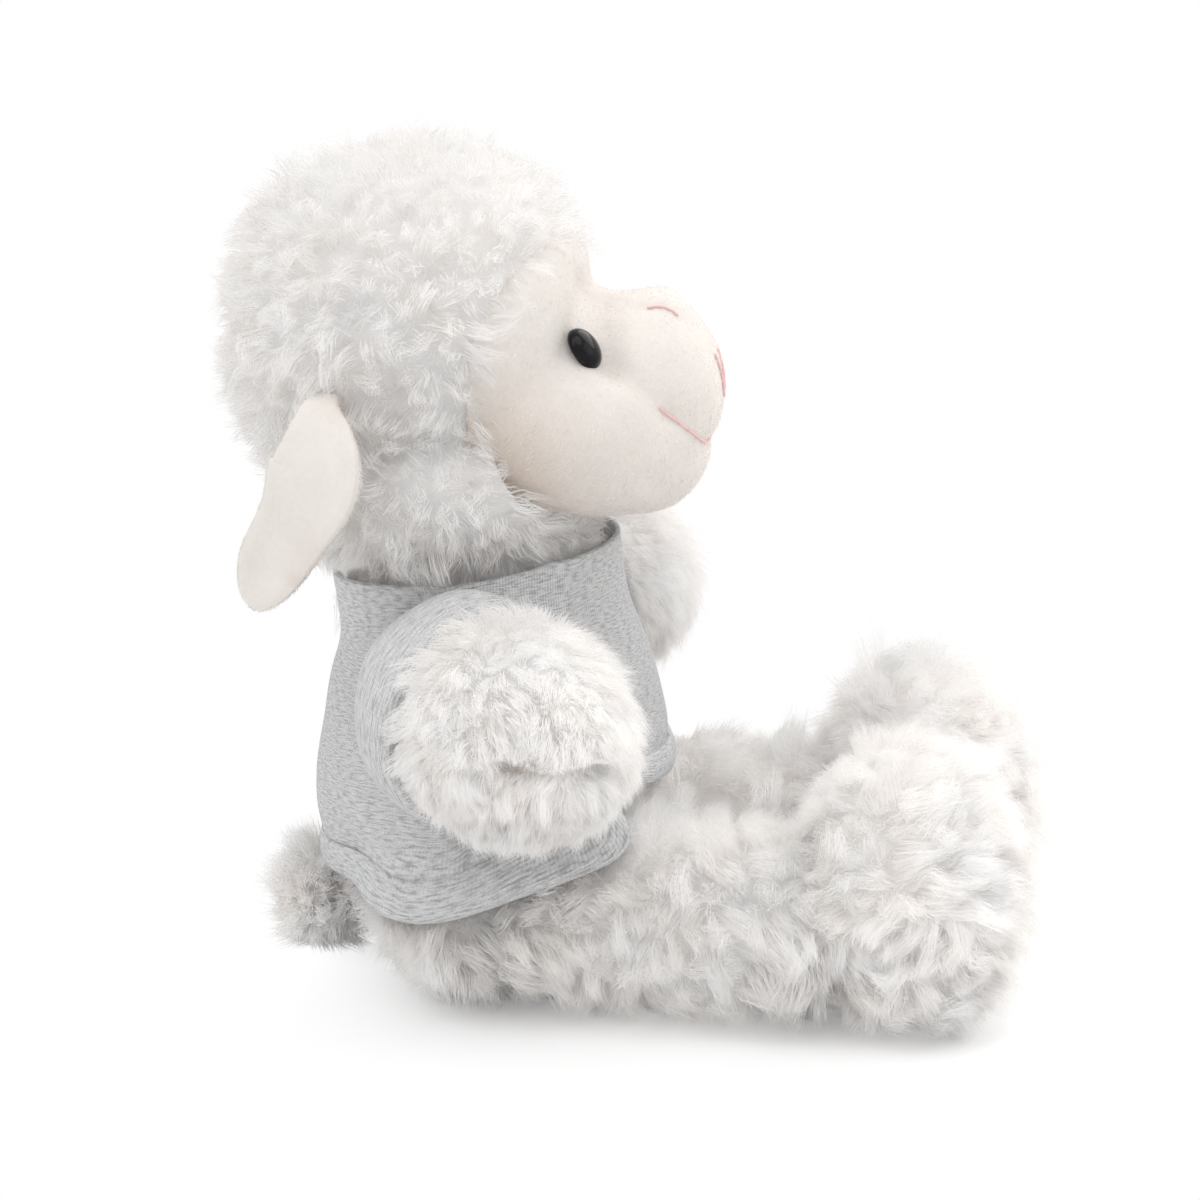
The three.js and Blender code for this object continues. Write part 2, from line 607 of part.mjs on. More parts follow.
// Ears: two leaves of short pile each, cupped about the length and hanging from the side of the head
function earLeaf(side, lift) {
  const rows = 7;
  const columns = 4;
  const inside = at(0, EAR_FORWARD, NECK_HEIGHT + EAR_RISE);
  const out = at(side, 0, 0);
  const root = leaves(woolRound, inside, out).addScaledVector(out, CLEAR);
  const spine = new THREE.CatmullRomCurve3([
    root,
    root.clone().add(at(side * EAR_LENGTH * 0.13, -EAR_LENGTH * 0.06, -EAR_LENGTH * 0.28)),
    root.clone().add(at(side * EAR_LENGTH * 0.17, -EAR_LENGTH * 0.2, -EAR_LENGTH * 0.62)),
    root.clone().add(at(side * EAR_LENGTH * 0.14, -EAR_LENGTH * 0.42, -EAR_LENGTH * 0.93)),
  ]);
  const halfWidth = (share, i) => new THREE.Vector2(i, share * EAR_WIDTH / 2);
  const width = new THREE.SplineCurve([0.52, 0.92, 1, 0.82, 0.34].map(halfWidth));
  const vertices = [];
  for (const level of [lift, lift + EAR_LAYER]) {
    for (let row = 0; row <= rows; row += 1) {
      const along = row / rows;
      const tangent = spine.getTangent(along);
      const normal = out.clone().addScaledVector(tangent, -out.dot(tangent)).normalize();
      const across = tangent.clone().cross(normal);
      const reach = width.getPoint(along).y;
      for (let column = 0; column <= columns; column += 1) {
        const share = (column / columns) * 2 - 1;
        const cup = (1 - share * share) * reach * 0.22;
        const point = spine.getPoint(along);
        point.addScaledVector(across, share * reach);
        point.addScaledVector(normal, cup + level);
        vertices.push(point.x, point.y, point.z);
      }
    }
  }
  const stride = columns + 1;
  const layer = stride * (rows + 1);
  const faces = [];
  const quad = (a, b, c, d) => faces.push(a, b, c, a, c, d);
  for (let row = 0; row < rows; row += 1) {
    for (let column = 0; column < columns; column += 1) {
      const a = row * stride + column;
      quad(a, a + stride, a + stride + 1, a + 1);
      quad(layer + a, layer + a + 1, layer + a + stride + 1, layer + a + stride);
    }
    const left = row * stride;
    const right = left + columns;
    quad(left, layer + left, layer + left + stride, left + stride);
    quad(right, right + stride, layer + right + stride, layer + right);
  }
  for (let column = 0; column < columns; column += 1) {
    const end = rows * stride + column;
    quad(column, column + 1, layer + column + 1, layer + column);
    quad(end, layer + end, layer + end + 1, end + 1);
  }
  const geometry = new THREE.BufferGeometry();
  geometry.setAttribute("position", new THREE.Float32BufferAttribute(vertices, 3));
  geometry.setIndex(faces);
  return solidOf(geometry);
}
piece("right_ear_lining", earLeaf(-1, 0), 0xf1e9e0);
piece("right_ear_outer", earLeaf(-1, EAR_LAYER + CLEAR), 0xf3ece4);
piece("left_ear_lining", earLeaf(1, 0), 0xf1e9e0);
piece("left_ear_outer", earLeaf(1, EAR_LAYER + CLEAR), 0xf3ece4);

// Arms in their sleeves, open inside the shoulder where they are sewn shut
function addArm(name, side, forms) {
  const out = at(side, 0, 0);
  const root = (depth) => beyond(forms.shoulder.clone().addScaledVector(out, -depth), out);
  const outer = armSolid(forms, 0).intersect(root(ARM_ROOT));
  const core = (gap) => armSolid(forms, -ARM_FUR - gap).intersect(root(ARM_ROOT + 1 - gap * 2));
  piece(`${name}_arm_fur`, mainBody(outer.subtract(core(0))), 0xf4f2ee);
  piece(`${name}_arm_stuffing`, mainBody(core(CLEAR)), 0xfbfbf8);
  const mouth = forms.shoulder.clone().addScaledVector(forms.aim, SLEEVE_LENGTH);
  const sleeve = ball(forms.shoulder, sleeveReach, forms.axis)
    .subtract(ball(forms.shoulder, SHOULDER_RADIUS + CLEAR, forms.axis))
    .subtract(stuffed(forms.arm, CLEAR))
    .intersect(root(SLEEVE_ROOT))
    .subtract(beyond(mouth, forms.aim));
  piece(`tee_${name}_sleeve`, mainBody(sleeve), 0xc4c5c8);
}
addArm("right", -1, rightArm);
addArm("left", 1, leftArm);

// Legs and feet, one stuffing through both
function addLeg(name, forms) {
  const level = (grow) => beyond(at(0, 0, -grow), at(0, 0, -1));
  const ankleHole = (gap) => rod(
    forms.ankle.clone().add(at(0, -20, 1)),
    forms.ankle.clone().add(at(0, 8, 1)),
    ANKLE_HOLE - gap,
    12,
  );
  const foot = stuffed(forms.foot).subtract(level(0));
  const leg = legSolid(forms, 0).subtract(level(0)).subtract(stuffed(forms.foot, CLEAR));
  const legCore = (gap) => legSolid(forms, -LEG_FUR - gap).subtract(level(-LEG_FUR - gap));
  const footCore = (gap) => stuffed(forms.foot, -LEG_FUR - gap)
    .subtract(level(-LEG_FUR - gap)).add(ankleHole(gap));
  const filling = legCore(CLEAR).subtract(stuffed(forms.foot, CLEAR * 2)).add(footCore(CLEAR));
  piece(`${name}_leg_fur`, mainBody(leg.subtract(legCore(0))), 0xf2f0eb);
  piece(`${name}_foot_fur`, mainBody(foot.subtract(footCore(0))), 0xf2f0eb);
  piece(`${name}_leg_stuffing`, mainBody(filling), 0xfbfbf8);
}
addLeg("right", rightLeg);
addLeg("left", leftLeg);

// Tail
const tail = stuffed(tailForm)
  .subtract(shirtRound(HEM_THICK + TURN_EASE))
  .subtract(ground)
  .add(ball(tailRoot, tailReach, UP));
piece("tail", mainBody(tail), 0xf4f2ee);

export default group;
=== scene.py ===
"""Seated plush lamb in a T-shirt: fleece, short-pile face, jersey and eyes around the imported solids."""

import json
import math
from contextlib import contextmanager

import bmesh
import bpy
import numpy as np
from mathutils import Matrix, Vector
from mathutils.bvhtree import BVHTree
from mathutils.kdtree import KDTree


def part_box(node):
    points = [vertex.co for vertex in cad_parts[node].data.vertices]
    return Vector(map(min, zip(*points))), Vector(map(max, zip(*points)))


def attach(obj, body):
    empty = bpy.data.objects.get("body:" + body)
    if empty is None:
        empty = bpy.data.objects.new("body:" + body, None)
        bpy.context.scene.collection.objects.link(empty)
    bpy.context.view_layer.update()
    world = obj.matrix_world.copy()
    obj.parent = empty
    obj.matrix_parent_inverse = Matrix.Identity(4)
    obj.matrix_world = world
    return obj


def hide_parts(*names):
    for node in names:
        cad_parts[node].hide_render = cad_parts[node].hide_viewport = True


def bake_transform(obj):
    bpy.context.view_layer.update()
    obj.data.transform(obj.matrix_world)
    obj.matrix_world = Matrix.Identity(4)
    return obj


bl_info = {
    "name": "Plush Lamb",
    "version": (1, 0, 0),
    "blender": (4, 5, 0),
    "location": "View3D > Sidebar > Lamb",
    "description": "Builds a seated plush lamb in a T-shirt over its packed solids",
    "category": "Add Mesh",
}

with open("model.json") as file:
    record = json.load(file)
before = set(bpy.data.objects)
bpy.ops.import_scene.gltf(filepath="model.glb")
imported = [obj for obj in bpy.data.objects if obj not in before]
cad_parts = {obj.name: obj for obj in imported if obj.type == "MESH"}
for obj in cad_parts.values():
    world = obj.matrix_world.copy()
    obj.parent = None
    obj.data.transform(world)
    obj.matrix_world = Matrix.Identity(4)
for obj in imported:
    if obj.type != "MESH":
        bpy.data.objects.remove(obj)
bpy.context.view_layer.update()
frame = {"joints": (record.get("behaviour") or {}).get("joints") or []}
JOINTS = {joint["name"]: joint for joint in frame["joints"]}
SIDES = {"right": -1, "left": 1}

MM = 0.001
UP = Vector((0, 0, 1))
AHEAD = Vector((0, -1, 0))

# Where the seams of the limbs are, in metres, from the frame's own joints
NECK = Vector(JOINTS["head_turn"]["pos_m"])
TAIL = Vector(JOINTS["tail_wag"]["pos_m"])
HIPS = {side: Vector(JOINTS[side + "_leg_swing"]["pos_m"]) for side in SIDES}
SHOULDERS = {side: Vector(JOINTS[side + "_arm_raise"]["pos_m"]) for side in SIDES}
EARS = {side: Vector(JOINTS[side + "_ear_lift"]["pos_m"]) for side in SIDES}
ARM_SWEEP = math.radians(45)
ARM_DROP = 0.12

# The stage, in metres and watts: the camera, the lamps and the patch of floor that keeps the shadow
CAMERA_PLACE = Vector((-0.8906, -0.1463, 0.3307))
CAMERA_TARGET = Vector((0, -0.029, 0.09))
CAMERA_LENS = 117.2
LAMP_TARGET = Vector((0, -0.03, 0.08))
LAMP_SIZE = 1.4
LAMPS = {
    "key": ((-0.4, -0.2, 1.7), 8.6),
    "fill": ((-0.6, 1.1, 1.4), 9.5),
    "far": ((1.0, -0.7, 1.0), 9),
    "front": ((-0.1, -1.5, 0.9), 4.5),
}
WORLD_LIGHT = 0.64
FLOOR_SIZE = 12
FLOOR_MIDDLE = (0, -0.062, 0)
FLOOR_REACH = (0.052, 0.066, 0)
FLOOR_FADE = 0.035
FLOOR_SHADOW = 0.2

# The shirt: its form and its edges
SHIRT_CENTRE = Vector((0, -3, 62)) * MM
SHIRT_THICKNESS = 1.1 * MM
HEM_THICKNESS = 1.2 * MM
SLEEVE_RADIUS = 26.6 * MM
SLEEVE_MOUTH = 4 * MM
SLEEVE_REACH = 44 * MM
COLLAR_BACK = 96.5 * MM
COLLAR_FRONT = 105.3 * MM
COLLAR_REACH = 33 * MM
HEM_RISES = [
    (0, -19), (20, -17), (38, -14), (55, -20.4), (70, -26.2), (83, -30.7), (96, -33.5), (115, -36.5),
    (145, -41), (180, -43),
]
HEM_BAND = 8 * MM
SIDE_SEAM_TURN = math.radians(88)
ARMHOLE = 29 * MM
ARMHOLES = {side: SHOULDERS[side] + Vector((sign * 6, 7.5, 1.5)) * MM for side, sign in SIDES.items()}
SHIRT_PIECES = (
    "tee_front_cloth", "tee_back_cloth", "tee_hem_cloth", "tee_right_sleeve_cloth", "tee_left_sleeve_cloth",
)

# Only pile below this height and behind this line can meet the shirt
SHIRT_TOP = 115 * MM
SHIRT_AHEAD = -60 * MM

# The ears
EAR_SPINE = (
    (-3, 4.5, 1), (3, 5, -1), (8.5, 4.5, -7), (11.2, 5, -14.5), (10.2, 9.3, -25), (7.5, 16.5, -37), (5.5, 20.5, -46),
)
EAR_WIDTHS = (3.6, 4.8, 9.2, 12, 9.6, 8.1, 6.5)
EAR_THICKNESS = 1.5 * MM
EAR_PUFF = 2.4 * MM

# How many hairs each piece has, how they lie, and how much darker the skin under them is painted, as shade
HAIR_RINGS = 2
UNDER_PILE_SHADE = 0.3
PILE_FLOOR = 0.3 * MM
TORSO_PILE = 5.5 * MM
NAP_WIDTH = 0.2 * MM
HAIRS = {"head": 46000, "face": 42000, "ear": 7000, "torso": 10000, "arm": 54000, "leg": 57000, "tail": 18000}
HEAD_LIE = dict(lean=0.25, stray=0.45, swirl=9 * MM, clump=38, gather=0.7, stand=0.8, curl=0.35, fray=0.11)
NAP_LIE = dict(lean=0.25, gather=0.3, curl=0.05, fray=0.25)
TORSO_LIE = dict(lean=0.5, clump=12, gather=0.5, stand=0.7)
ARM_LIE = dict(lean=0.25, stray=0.22, swirl=14 * MM, clump=44, gather=0.24, stand=0.6, curl=0.1, fray=0.13)
LEG_LIE = dict(lean=0.42, stray=0.3, swirl=16 * MM, clump=100, gather=0.5, stand=0.66, curl=0.25, fray=0.18)
TAIL_LIE = dict(lean=0.2, clump=60, gather=0.3, stand=0.78, curl=0.2, fray=0.2, mottle=0.35)


def at(across, forward, height):
    """A point of the lamb, from millimetres across, forward and up."""
    return Vector((across, -forward, height)) * MM


def clamp(value, low=0.0, high=1.0):
    return max(low, min(high, value))


def ease(value):
    value = clamp(value)
    return value * value * (3 - 2 * value)


def spline(points, share):
    """A smooth line through points, at a share of its run."""
    last = len(points) - 1
    place = clamp(share) * last
    i = min(int(place), last - 1)
    w = place - i
    p0, p1 = points[max(i - 1, 0)], points[i]
    p2, p3 = points[i + 1], points[min(i + 2, last)]
    v0, v1 = (p2 - p0) * 0.5, (p3 - p1) * 0.5
    return (
        (2 * p1 - 2 * p2 + v0 + v1) * w**3
        + (-3 * p1 + 3 * p2 - 2 * v0 - v1) * w**2
        + v0 * w
        + p1
    )


def new_piece(name, bm):
    """Turns a bmesh into a smooth-shaded object at the origin."""
    mesh = bpy.data.meshes.new(name)
    bm.to_mesh(mesh)
    bm.free()
    mesh.shade_smooth()
    piece = bpy.data.objects.new(name, mesh)
    bpy.context.scene.collection.objects.link(piece)
    return piece


def applied(piece):
    """Makes the piece's modifiers part of its mesh."""
    depsgraph = bpy.context.evaluated_depsgraph_get()
    mesh = bpy.data.meshes.new_from_object(piece.evaluated_get(depsgraph))
    piece.modifiers.clear()
    old = piece.data
    piece.data = mesh
    mesh.name = piece.name
    bpy.data.meshes.remove(old)
    mesh.shade_smooth()
    return piece


@contextmanager
def edited(piece):
    """Opens a piece's mesh as a bmesh and puts it back."""
    bm = bmesh.new()
    bm.from_mesh(piece.data)
    yield bm
    bm.to_mesh(piece.data)
    bm.free()
    piece.data.shade_smooth()


def grid(columns, rows):
    """A flat grid of unit size, to be laid over a form."""
    bm = bmesh.new()
    bmesh.ops.create_grid(bm, x_segments=columns, y_segments=rows, size=0.5)
    return bm


def thickened(piece, thickness, offset=-1):
    """Gives a skin the thickness of its cloth, inwards unless said."""
    solid = piece.modifiers.new("Thickness", "SOLIDIFY")
    solid.thickness = thickness
    solid.offset = offset
    return applied(piece)


def stuffed(bm, form, grow=0.0):
    """Adds a stuffed form to a bmesh: a sphere drawn along a spine, swelling from size to size."""
    spine = [point.copy() for point in form["spine"]]
    spine[0] -= (spine[1] - spine[0]).normalized() * grow
    spine[-1] += (spine[-1] - spine[-2]).normalized() * grow
    sizes = [Vector(size) * MM for size in form["sizes"]]
    made = bmesh.ops.create_uvsphere(bm, u_segments=40, v_segments=28, radius=1.0)
    for vert in made["verts"]:
        x, y, z = vert.co
        share = (1 + z) / 2
        reach = math.hypot(x, y)
        swell = reach ** form["blunt"] / reach if reach > 1e-6 else 0
        tangent = (spline(spine, share + 0.01) - spline(spine, share - 0.01)).normalized()
        tall = (form["up"] - tangent * form["up"].dot(tangent)).normalized()
        wide = tangent.cross(tall)
        half = spline(sizes, share) * 0.5
        centre = spline(spine, share)
        across = wide * (x * swell * (half.x + grow))
        vert.co = centre + across + tall * (y * swell * (half.y + grow))


def ball(bm, centre, radius):
    made = bmesh.ops.create_uvsphere(bm, u_segments=40, v_segments=24, radius=radius)
    bmesh.ops.translate(bm, verts=made["verts"], vec=centre)


def merged(name, bm, voxel, relax):
    """Melts the shells of a bmesh into one closed skin and relaxes it."""
    bmesh.ops.recalc_face_normals(bm, faces=bm.faces)
    piece = new_piece(name, bm)
    remesh = piece.modifiers.new("Melt", "REMESH")
    remesh.mode = "VOXEL"
    remesh.voxel_size = voxel
    with edited(applied(piece)) as bm:
        for _ in range(relax):
            bmesh.ops.smooth_vert(bm, verts=bm.verts, factor=0.5, use_axis_x=True, use_axis_y=True, use_axis_z=True)
    return piece


def trimmed(bm, side_of):
    """Keeps what lies on the positive side of a surface and draws the cut edge onto it."""
    rims = {vert for vert in bm.verts if vert.is_boundary}
    out = [face for face in bm.faces if side_of(face.calc_center_median()) < 0]
    bmesh.ops.delete(bm, geom=out, context="FACES")
    step = 0.2 * MM
    for vert in bm.verts:
        if not vert.is_boundary or vert in rims:
            continue
        here = side_of(vert.co)
        if abs(here) > 3 * MM:
            continue
        slope = Vector([side_of(vert.co + Vector(axis) * step) - here
                        for axis in ((1, 0, 0), (0, 1, 0), (0, 0, 1))]) / step
        if slope.length > 1e-6:
            vert.co -= slope * (here / slope.length_squared)


def tree_of(piece):
    bm = bmesh.new()
    bm.from_mesh(piece.data)
    tree = BVHTree.FromBMesh(bm)
    bm.free()
    return tree


def drop(piece):
    mesh = piece.data
    bpy.data.objects.remove(piece)
    bpy.data.meshes.remove(mesh)


# Forms of the stuffed pieces, the same as those of the solids

TORSO = {
    "spine": [at(0, -1, -0.5), at(0, 3.5, 52), at(0, 0.5, 104)],
    "sizes": [(79.2, 72.2), (88, 81.2), (86.2, 82), (77.4, 73.8), (68.6, 65.6)],
    "blunt": 0.55,
    "up": AHEAD,
}
SKULL = {
    "spine": [at(0, -56, 155), at(0, 26, 155)],
    "sizes": [(80, 84), (80, 84)],
    "blunt": 1.0,
    "up": UP,
}
JAW = {
    "spine": [at(0, -8, 137), at(0, 54, 133)],
    "sizes": [(66.5, 52), (70, 52), (61.6, 48.9), (43.4, 40.6)],
    "blunt": 0.75,
    "up": UP,
}
RUFF = {
    "spine": [at(0, -42, 119), at(0, 30, 124)],
    "sizes": [(74, 40), (86, 42), (72, 36)],
    "blunt": 0.75,
    "up": UP,
}
NOSE = {
    "spine": [at(0, 12, 148), at(0, 56.5, 140)],
    "sizes": [(49.4, 38), (47, 39.5), (38.5, 35.7)],
    "blunt": 0.7,
    "up": UP,
}


def leg_form(side):
    hip = HIPS[side]
    sign = SIDES[side]
    return {
        "spine": [hip + at(0, -14, 0), hip + at(sign * 5, 106, 1)],
        "sizes": [(47, 47), (47.5, 47.5), (47.5, 48.5)],
        "blunt": 0.5,
        "up": UP,
    }


def foot_form(side):
    hip = HIPS[side]
    sign = SIDES[side]
    middle = hip + at(sign * 5, 104, 0)
    middle.z = 0
    return {
        "spine": [middle + at(0, -2, -0.5), middle + at(0, 0, 35), middle + at(sign, -3, 70)],
        "sizes": [(49.7, 53.6), (54, 57), (45.4, 46.7)],
        "blunt": 0.7,
        "up": AHEAD,
    }


def arm_aim(side):
    sign = SIDES[side]
    return Vector((sign * math.cos(ARM_SWEEP), -math.sin(ARM_SWEEP), -ARM_DROP)).normalized()


def arm_form(side):
    shoulder, aim = SHOULDERS[side], arm_aim(side)
    return {
        "spine": [shoulder - aim * 14.8 * MM, shoulder + aim * 50 * MM],
        "sizes": [(43, 43), (48.5, 48.5), (48, 48), (32, 32)],
        "blunt": 0.7,
        "up": UP,
    }


TAIL_FORM = {
    "spine": [at(0, -31.5, 15.5), at(0, -50.5, 12.5)],
    "sizes": [(21.6, 21.6), (27, 27), (24.3, 25.6)],
    "blunt": 0.7,
    "up": UP,
}


def face_side(point):
    """Metres in front of the seam between the face and the fleece."""
    across, forward, height = point.x / MM, -point.y / MM, point.z / MM
    lift = (height - 147) / 30.8
    seam = 4.4 + 13.5 * lift * lift
    if height > 160:
        seam += 7 * ease((height - 160) / 14) * math.exp(-((across / 17) ** 2))
    return (forward - seam) * MM


def collar_height(point):
    share = -point.y / COLLAR_REACH
    return (COLLAR_BACK + COLLAR_FRONT) / 2 + share * (COLLAR_FRONT - COLLAR_BACK) / 2


def hem_rise(turn):
    """The rise of the hem's edge from the middle of the shirt, at a turn from the front."""
    line = [Vector(pair) for pair in HEM_RISES]
    away = abs((math.degrees(turn) + 180) % 360 - 180)
    low, high = 0.0, 1.0
    for _ in range(20):
        middle = (low + high) / 2
        low, high = (middle, high) if spline(line, middle).x < away else (low, middle)
    return math.radians(spline(line, low).y)


# Finishes

def feed(tree, target, inputs):
    """Gives a node's inputs their links or their own values; a colour gets its alpha."""
    for name, value in inputs.items():
        socket = target.inputs[name]
        if isinstance(value, bpy.types.NodeSocket):
            tree.links.new(value, socket)
        else:
            socket.default_value = (*value, 1) if socket.type == "RGBA" else value


def wired(tree, kind, inputs=None, **settings):
    """A new shader node with its settings and its inputs."""
    node = tree.nodes.new("ShaderNode" + kind)
    for name, value in settings.items():
        setattr(node, name, value)
    feed(tree, node, inputs or {})
    return node


def finish(name):
    """A new material with its node tree, its shader and its texture coordinates."""
    material = bpy.data.materials.new(name)
    material.use_nodes = True
    tree = material.node_tree
    return material, tree, tree.nodes["Principled BSDF"], wired(tree, "TexCoord").outputs


def surfaced(tree, shader):
    """Makes a shader the material's surface."""
    feed(tree, tree.nodes["Material Output"], {"Surface": shader.outputs["Shader"]})


def noise(tree, vector, scale, detail=3.0, stretch=(1, 1, 1)):
    stretched = wired(tree, "Mapping", {"Vector": vector, "Scale": stretch}).outputs["Vector"]
    return wired(tree, "TexNoise", {"Vector": stretched, "Scale": scale, "Detail": detail}).outputs["Fac"]


def ramp(tree, value, *stops):
    node = wired(tree, "ValToRGB", {"Fac": value})
    elements = node.color_ramp.elements
    while len(elements) < len(stops):
        elements.new(0.5)
    for element, (place, colour) in zip(elements, stops):
        element.position = place
        element.color = (*colour, 1)
    return node.outputs["Color"]


def mix(tree, factor, first, second, blend="MIX"):
    return wired(tree, "Mix", {0: factor, 6: first, 7: second}, data_type="RGBA", blend_type=blend).outputs[2]


def shown(tree):
    """1 for a ray that shows what stands behind the lamb: to the camera, mirrored or through glass."""
    rays = wired(tree, "LightPath").outputs
    value = rays["Is Camera Ray"]
    for operation, ray in (
        ("MAXIMUM", "Is Glossy Ray"), ("MAXIMUM", "Is Transmission Ray"), ("SUBTRACT", "Is Diffuse Ray"),
    ):
        value = wired(tree, "Math", {0: value, 1: rays[ray]}, operation=operation, use_clamp=True).outputs[0]
    return value


def shade(colour, factor):
    return tuple(clamp(channel * factor) for channel in colour)


def tinged(colour, tinge):
    return tuple(channel * share for channel, share in zip(colour, tinge))


def grey(value):
    return (value,) * 3


def soften(tree, shader, colour, share, sparse):
    """Lets light through the fibres and between them, as fine pile does."""
    through = wired(tree, "BsdfTranslucent", {"Color": colour})
    both = wired(tree, "MixShader", {"Fac": share, 1: shader.outputs["BSDF"], 2: through.outputs["BSDF"]})
    shadow = wired(tree, "LightPath").outputs["Is Shadow Ray"]
    gaps = wired(tree, "Math", {0: shadow, 1: sparse}, operation="MULTIPLY")
    clear = wired(tree, "BsdfTransparent")
    surfaced(tree, wired(tree, "MixShader", {
        "Fac": gaps.outputs[0], 1: both.outputs["Shader"], 2: clear.outputs["BSDF"],
    }))


def fleece_finish(name, colour, sparse):
    """White pile: paler at the tips, with painted shade towards the roots and on the skin under the pile, beige
    painted shade in the paw's slit, and soft drifts of tone from lock to lock.
    """
    material, tree, shader, coords = finish(name)
    tone = wired(tree, "Attribute", attribute_name="tone").outputs["Fac"]
    # Painted shade: beige in the paw's slit at tone 0, and a shade darker at the hair roots and on the skin under the
    # pile at tone 0.3.
    slit_shade_beige = tinged(colour, (0.74, 0.69, 0.65))
    pile = ramp(tree, tone, (0.0, slit_shade_beige), (0.3, shade(colour, 0.96)), (1.0, colour))
    warm = ramp(tree, noise(tree, coords["Object"], 70), (0.35, (1, 0.985, 0.975)), (0.65, (1, 1, 1)))
    colours = mix(tree, 1.0, pile, warm, "MULTIPLY")
    feed(tree, shader, {"Base Color": colours, "Roughness": 0.9, "Specular IOR Level": 0.1})
    soften(tree, shader, colours, 0.45, sparse)
    return material


def velboa_finish(name, colour):
    """Cream short pile with the mottle of brushed nap, turning beige where its tone is low: painted shade at the nap's
    roots, low on the cheeks and at the ears' roots, and real stains near the ears' tips.
    """
    material, tree, shader, coords = finish(name)
    patches = noise(tree, coords["Object"], 160)
    nap = noise(tree, coords["Object"], 900, 4)
    # The tone attribute: low where shade is painted and where the ears are stained.
    stain_and_shade = wired(tree, "Attribute", attribute_name="tone").outputs["Fac"]
    beige = tinged(colour, (0.8, 0.74, 0.68))
    cream = ramp(tree, patches, (0.3, shade(colour, 0.965)), (0.7, colour))
    fine = ramp(tree, nap, (0.3, (0.97, 0.965, 0.96)), (0.6, (1, 1, 1)))
    colours = mix(tree, 1.0, mix(tree, stain_and_shade, beige, cream), fine, "MULTIPLY")
    feed(tree, shader, {"Base Color": colours, "Roughness": 0.95, "Specular IOR Level": 0.1})
    soften(tree, shader, colours, 0.3, 0.5)
    return material


def jersey_finish(name, colour, fleck):
    """Heather-grey knit: dark and pale fibres along the courses, and the ribs of the stitches."""
    material, tree, shader, coords = finish(name)
    cloth = coords["UV"]
    streaks = noise(tree, cloth, 2000, 4, (0.15, 1.0, 1))
    grain = noise(tree, cloth, 5000, 2, (0.4, 1, 1))
    fibre = ramp(tree, streaks, (0.36, fleck), (0.5, colour), (0.66, shade(colour, 1.14)))
    cloud = ramp(tree, grain, (0.3, grey(0.82)), (0.7, grey(1.1)))
    wales = wired(tree, "TexWave", {
        "Vector": cloth, "Scale": 330, "Distortion": 1.5, "Detail Scale": 3,
    }, bands_direction="X")
    courses = wired(tree, "TexWave", {"Vector": cloth, "Scale": 420, "Distortion": 2.5}, bands_direction="Y")
    knit = mix(tree, 0.5, wales.outputs["Color"], courses.outputs["Color"])
    ribs = wired(tree, "Bump", {"Strength": 0.6, "Distance": 0.5 * MM, "Height": knit})
    feed(tree, shader, {
        "Base Color": mix(tree, 1.0, fibre, cloud, "MULTIPLY"), "Normal": ribs.outputs["Normal"],
        "Roughness": 0.95, "Specular IOR Level": 0.15, "Sheen Weight": 0.2,
    })
    return material


def eye_finish(name, colour):
    """Polished black plastic with faint moulding marks."""
    material, tree, shader, coords = finish(name)
    grain = noise(tree, coords["Object"], 500)
    feed(tree, shader, {
        "Base Color": ramp(tree, grain, (0.3, colour), (0.7, shade(colour, 1.6))),
        "Roughness": ramp(tree, grain, (0.3, grey(0.06)), (0.7, grey(0.12))),
        "Specular IOR Level": 0.14,
    })
    return material


def thread_finish(name, colour):
    """Pink rayon thread with fine strands."""
    material, tree, shader, coords = finish(name)
    strands = noise(tree, coords["Object"], 2500, 2)
    feed(tree, shader, {
        "Base Color": ramp(tree, strands, (0.3, shade(colour, 0.85)), (0.7, colour)),
        "Roughness": 0.5, "Sheen Weight": 0.2,
    })
    return material


def floor_finish(name, colour):
    """A pale floor that reads white away from the lamb and keeps the shadow near it."""
    material, tree, shader, coords = finish(name)
    mottle = noise(tree, coords["Object"], 3)
    feed(tree, shader, {
        "Base Color": ramp(tree, mottle, (0.3, shade(colour, 0.995)), (0.7, colour)),
        "Roughness": 0.9, "Specular IOR Level": 0.0,
    })
    away = coords["Object"]
    for operation, inputs in (
        ("SUBTRACT", {1: FLOOR_MIDDLE}), ("ABSOLUTE", {}), ("SUBTRACT", {1: FLOOR_REACH}), ("MAXIMUM", {1: (0, 0, 0)}),
    ):
        away = wired(tree, "VectorMath", {0: away, **inputs}, operation=operation).outputs["Vector"]
    apart = wired(tree, "VectorMath", {0: away}, operation="LENGTH").outputs["Value"]
    fade = wired(tree, "MapRange", {"Value": apart, "From Max": FLOOR_FADE, "To Min": FLOOR_SHADOW})
    share = wired(tree, "Math", {0: shown(tree), 1: fade.outputs[0]}, operation="MULTIPLY")
    white = wired(tree, "Emission", {"Strength": 1.0})
    surfaced(tree, wired(tree, "MixShader", {
        "Fac": share.outputs[0], 1: shader.outputs["BSDF"], 2: white.outputs["Emission"],
    }))
    return material


# Fur

def hair_template():
    """One flat hair of unit height: where each of its points is across and along, and its faces."""
    bm = grid(1, HAIR_RINGS)
    tip = [vert for vert in bm.verts if vert.co.y > 0.49]
    bmesh.ops.pointmerge(bm, verts=tip, merge_co=(0, 0.5, 0))
    bmesh.ops.triangulate(bm, faces=bm.faces)
    bm.verts.index_update()
    across = np.array([vert.co.x for vert in bm.verts])
    heights = np.array([vert.co.y + 0.5 for vert in bm.verts])
    faces = np.array([[vert.index for vert in face.verts] for face in bm.faces])
    bm.free()
    return across * (1 - heights**4) ** 0.5, heights, faces


def gathered(collection, name, kind=np.float64):
    """A vector from each item of a mesh's collection, one row each."""
    values = np.empty(len(collection) * 3, kind)
    collection.foreach_get(name, values)
    return values.reshape(-1, 3)


